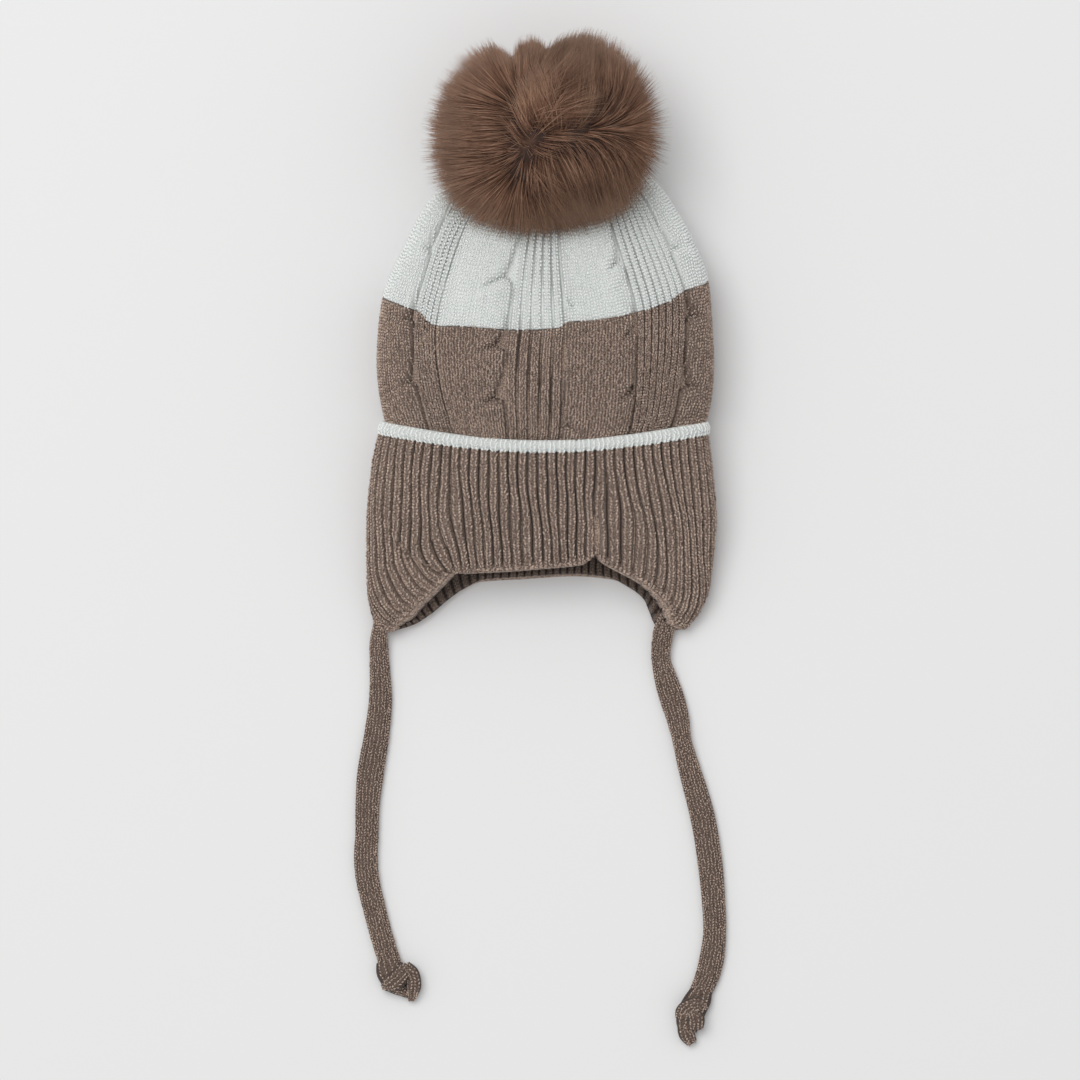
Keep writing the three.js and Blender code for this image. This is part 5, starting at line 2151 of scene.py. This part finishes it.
@dataclass
class Strap:
    """A flat knitted tube along a line, with its wales and stitches."""

    line: Array
    width: Array
    thickness: Array
    across: Array
    sides: int = 30
    wales: int = 10
    ridge: float = 0.06

    def cloth(self) -> Cloth:
        """Work out the tube's surface, with a low ridge for each wale.

        Returns:
            The surface, a row for each of the line's points.
        """
        ahead = unit(np.gradient(self.line, axis=0))
        side = unit(self.across - ahead * (self.across * ahead).sum(1)[:, None])
        up = np.cross(ahead, side)
        up = up * np.sign(up[:, 2:3] + 1e-9)
        turn = 2 * np.pi * np.arange(self.sides) / self.sides
        ridge = 1 + self.ridge * np.cos(turn * self.wales)
        out = np.cos(turn)[None, :, None] * side[:, None] * (self.width / 2)[:, None, None]
        rise = np.sin(turn)[None, :, None] * up[:, None] * (self.thickness / 2)[:, None, None]
        return Cloth(self.line[:, None] + (out + rise) * ridge[None, :, None])

    def legs(
        self,
        cloth: Cloth,
        course: float,
        size: float,
        chance: np.random.Generator,
        hem: float = 1.0,
    ) -> Seeds:
        """Lay stitch legs on the tube, above the floor.

        Args:
            cloth: the tube's surface.
            course: the height of a stitch.
            size: the legs' size as a share of the usual one.
            chance: the source of random numbers.
            hem: the share of the half width beyond which the tube stays bare.

        Returns:
            The seeds of the legs.
        """
        length = np.linalg.norm(np.diff(self.line, axis=0), axis=1).sum()
        courses = int(length / course)
        lines = 2 * self.wales
        phase = chance.random(self.wales)[np.arange(lines) // 2]
        rows = (np.arange(courses)[:, None] + phase[None, :]) * (len(self.line) - 1) / courses
        columns = (np.arange(lines) + 0.5) * self.sides / lines
        row, column = np.broadcast_arrays(rows, columns[None, :])
        lean = np.where(np.arange(lines) % 2 == 0, -LEG_LEAN, LEG_LEAN)[None, :] + np.zeros_like(row)
        keep = cloth.at(row, column)[..., 2] > STRAP_FLOOR_GAP
        keep &= np.abs(np.cos(2 * np.pi * column / self.sides)) <= hem
        sizes = np.full(keep.sum(), size)
        return cloth.legs(row[keep], column[keep], lean[keep], sizes, 0.15, chance)

    def make(self, name: str, cloth: Cloth, finish: bpy.types.Material) -> bpy.types.Object:
        """Make the tube as a closed piece, with painted shade between its stitches.

        Args:
            name: the piece's name.
            cloth: the tube's surface.
            finish: the piece's material.

        Returns:
            The piece.
        """
        turn = 2 * np.pi * np.arange(self.sides) / self.sides
        # Painted shade between the stitches, full at the tube's sides where it turns under.
        groove = 0.8 + 0.2 * np.abs(np.cos(turn)) ** 5
        marks = {"groove": groove[None, :] + np.zeros(cloth.points.shape[:2])}
        return shell(name, cloth.points, finish, marks, poles=(self.line[0], self.line[-1]))


@dataclass
class Tie:
    """A knitted tie that lies on the floor, with the knot at its end."""

    side: str
    route: Table
    knot: "Knot"
    brown: bpy.types.Material
    stitches: GeometryTree
    width: float = 12.6
    thickness: float = 4.6
    step: float = 0.9
    root_reach: float = 14.0
    root_width: float = 0.62

    def strap(self) -> Strap:
        """Lay the tie along its route, drawn in where it enters the flap.

        Returns:
            The tie as a strap.
        """
        points = np.column_stack([self.route.column(name) for name in ("x", "y", "z")])
        line, place = along_points(points, self.step)
        run = np.arange(len(line)) * self.step
        root = mix(self.root_width, 1.0, smooth(run / self.root_reach))
        widths = Curve(np.arange(len(points)), self.route.column("width"))(place) * self.width * root
        ahead = unit(np.gradient(line, axis=0))
        across = unit(np.column_stack([-ahead[:, 1], ahead[:, 0], np.zeros(len(line))]))
        thick = np.full(len(line), self.thickness) * np.clip(1.9 - widths / self.width, 0.9, 1.15)
        return Strap(line, widths, thick, across)

    def make(self) -> None:
        strap = self.strap()
        cloth = strap.cloth()
        piece = strap.make(f"tie_{self.side}_knit", cloth, self.brown)
        settle(piece, Yarn.BROWN, f"tie_{self.side}")
        legs = strap.legs(cloth, course=1.5, size=1.0, chance=np.random.default_rng(4))
        sizes = stitch_sizes(self.brown, TIE_LEG, uneven=0.4, seed=23)
        stitches = settle(self.stitches.grow(f"tie_{self.side}_stitches", legs, sizes), Yarn.BROWN)
        run = np.linalg.norm(np.diff(strap.line, axis=0), axis=1).sum()
        tuple(strap.line[0] * MM)
        self.width * MM
        [tuple(point) for point in strap.line * MM]
        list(self.knot.make(self.side, self.brown, self.stitches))


@dataclass
class Knot:
    """The knot at a tie's end: its strap wound over itself in a few short strips."""

    strips: dict[str, Table]

    def make(
        self, side: str, finish: bpy.types.Material, stitches: GeometryTree
    ) -> list[bpy.types.Object]:
        """Make the knot.

        Args:
            side: the tie's side.
            finish: the knot's material.
            stitches: the tree that lays the stitches.

        Returns:
            The knot's pieces.
        """
        made, legs = [], []
        chance = np.random.default_rng(6)
        for part, rows in self.strips.items():
            points = np.column_stack([rows.column(name) for name in ("x", "y", "z")])
            line, where = along_points(points, 0.7)
            count = np.arange(len(points))
            width, thick = (Curve(count, rows.column(name))(where) for name in ("wide", "thick"))
            ahead = unit(np.gradient(line, axis=0))
            flat = unit(np.column_stack([-ahead[:, 1], ahead[:, 0], np.zeros(len(line))]))
            strap = Strap(line, width, thick, flat, sides=24, wales=6)
            cloth = strap.cloth()
            made.append(strap.make(f"knot_{side}_{part}", cloth, finish))
            legs.append(strap.legs(cloth, course=1.4, size=1.2, chance=chance, hem=0.88))
        sizes = stitch_sizes(finish, TIE_LEG, uneven=0.4, seed=23)
        made.append(stitches.grow(f"knot_{side}_stitches", Seeds.joined(legs), sizes))
        settle(made[0], Yarn.BROWN, f"knot_{side}")
        for piece in made[1:]:
            settle(piece, Yarn.BROWN)
        return made


LEFT_KNOT = Knot(
    {
        "body": Table(
            "x y z wide thick",
            (-83.9, -331.0, 3.4, 11.0, 4.6),
            (-82.0, -337.0, 4.2, 14.0, 7.0),
            (-79.2, -342.0, 4.0, 13.0, 7.4),
            (-75.4, -345.6, 3.4, 9.0, 6.0),
        ),
        "wrap": Table(
            "x y z wide thick",
            (-72.6, -334.6, 3.4, 7.0, 3.6),
            (-75.6, -338.0, 7.6, 9.0, 4.0),
            (-79.0, -341.6, 8.6, 9.6, 4.0),
            (-82.8, -344.2, 5.6, 7.0, 4.0),
            (-85.4, -344.2, 3.0, 5.0, 3.6),
        ),
        "under": Table(
            "x y z wide thick",
            (-85.6, -342.4, 2.6, 5.0, 4.0),
            (-80.6, -345.6, 2.8, 6.0, 4.6),
            (-74.6, -347.6, 2.8, 6.0, 4.6),
            (-70.6, -349.6, 2.6, 4.6, 4.0),
        ),
        "tail": Table(
            "x y z wide thick",
            (-74.0, -334.0, 4.4, 6.4, 5.0),
            (-70.2, -338.4, 5.4, 8.0, 5.6),
            (-69.2, -344.0, 5.4, 8.0, 5.4),
            (-69.8, -349.0, 3.6, 6.0, 4.4),
            (-70.4, -352.6, 2.4, 3.6, 3.2),
        ),
    }
)
RIGHT_KNOT = Knot(
    {
        "body": Table(
            "x y z wide thick",
            (88.0, -346.5, 3.4, 10.4, 4.6),
            (85.4, -352.0, 4.2, 13.4, 6.6),
            (82.4, -357.5, 4.6, 14.0, 7.6),
            (80.4, -363.5, 4.4, 13.4, 7.4),
            (79.6, -369.5, 3.4, 9.6, 5.6),
        ),
        "wrap": Table(
            "x y z wide thick",
            (75.4, -362.4, 3.0, 5.0, 3.6),
            (77.0, -358.4, 6.2, 7.4, 4.0),
            (80.6, -355.4, 8.6, 8.0, 4.2),
            (85.2, -354.8, 7.6, 7.4, 4.0),
            (88.4, -357.4, 3.8, 5.4, 3.6),
        ),
        "lobe": Table(
            "x y z wide thick",
            (82.0, -358.6, 8.2, 5.4, 3.6),
            (84.0, -362.4, 8.6, 9.0, 4.6),
            (84.2, -367.4, 5.6, 7.6, 4.4),
        ),
        "tail": Table(
            "x y z wide thick",
            (77.6, -364.6, 4.2, 7.0, 5.0),
            (79.0, -370.4, 4.4, 8.4, 5.0),
            (82.0, -375.8, 2.8, 5.6, 3.4),
        ),
    }
)


def main() -> None:
    """Load the frame, build the cap's pieces around it and measure them."""
    logging.basicConfig(level=logging.INFO, format="%(message)s")
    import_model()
    cad_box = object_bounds()
    studio = Studio()
    studio.camera()
    stitches, strands = stitch_tree(), strand_tree()
    brown = BROWN_WOOL.material("brown_wool")
    white = WHITE_WOOL.material("white_wool")
    fur = POMPOM_FUR.material("pompom_fur")
    for side, route, knot in (("left", LEFT_ROUTE, LEFT_KNOT), ("right", RIGHT_ROUTE, RIGHT_KNOT)):
        Tie(side, route, knot, brown, stitches).make()
    crown = Crown(brown, white, stitches)
    crown.lower()
    crown.upper()
    turn_up = TurnUp(brown, white, stitches)
    turn_up.make()
    turn_up.edging()
    Pompom(fur, strands).make()
    studio.floor()
    studio.light()
    boxes = {"cad": cad_box, "visual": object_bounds()}
    {key: [list(corner) for corner in box] for key, box in boxes.items()}


if __name__ == "__main__":
    main()
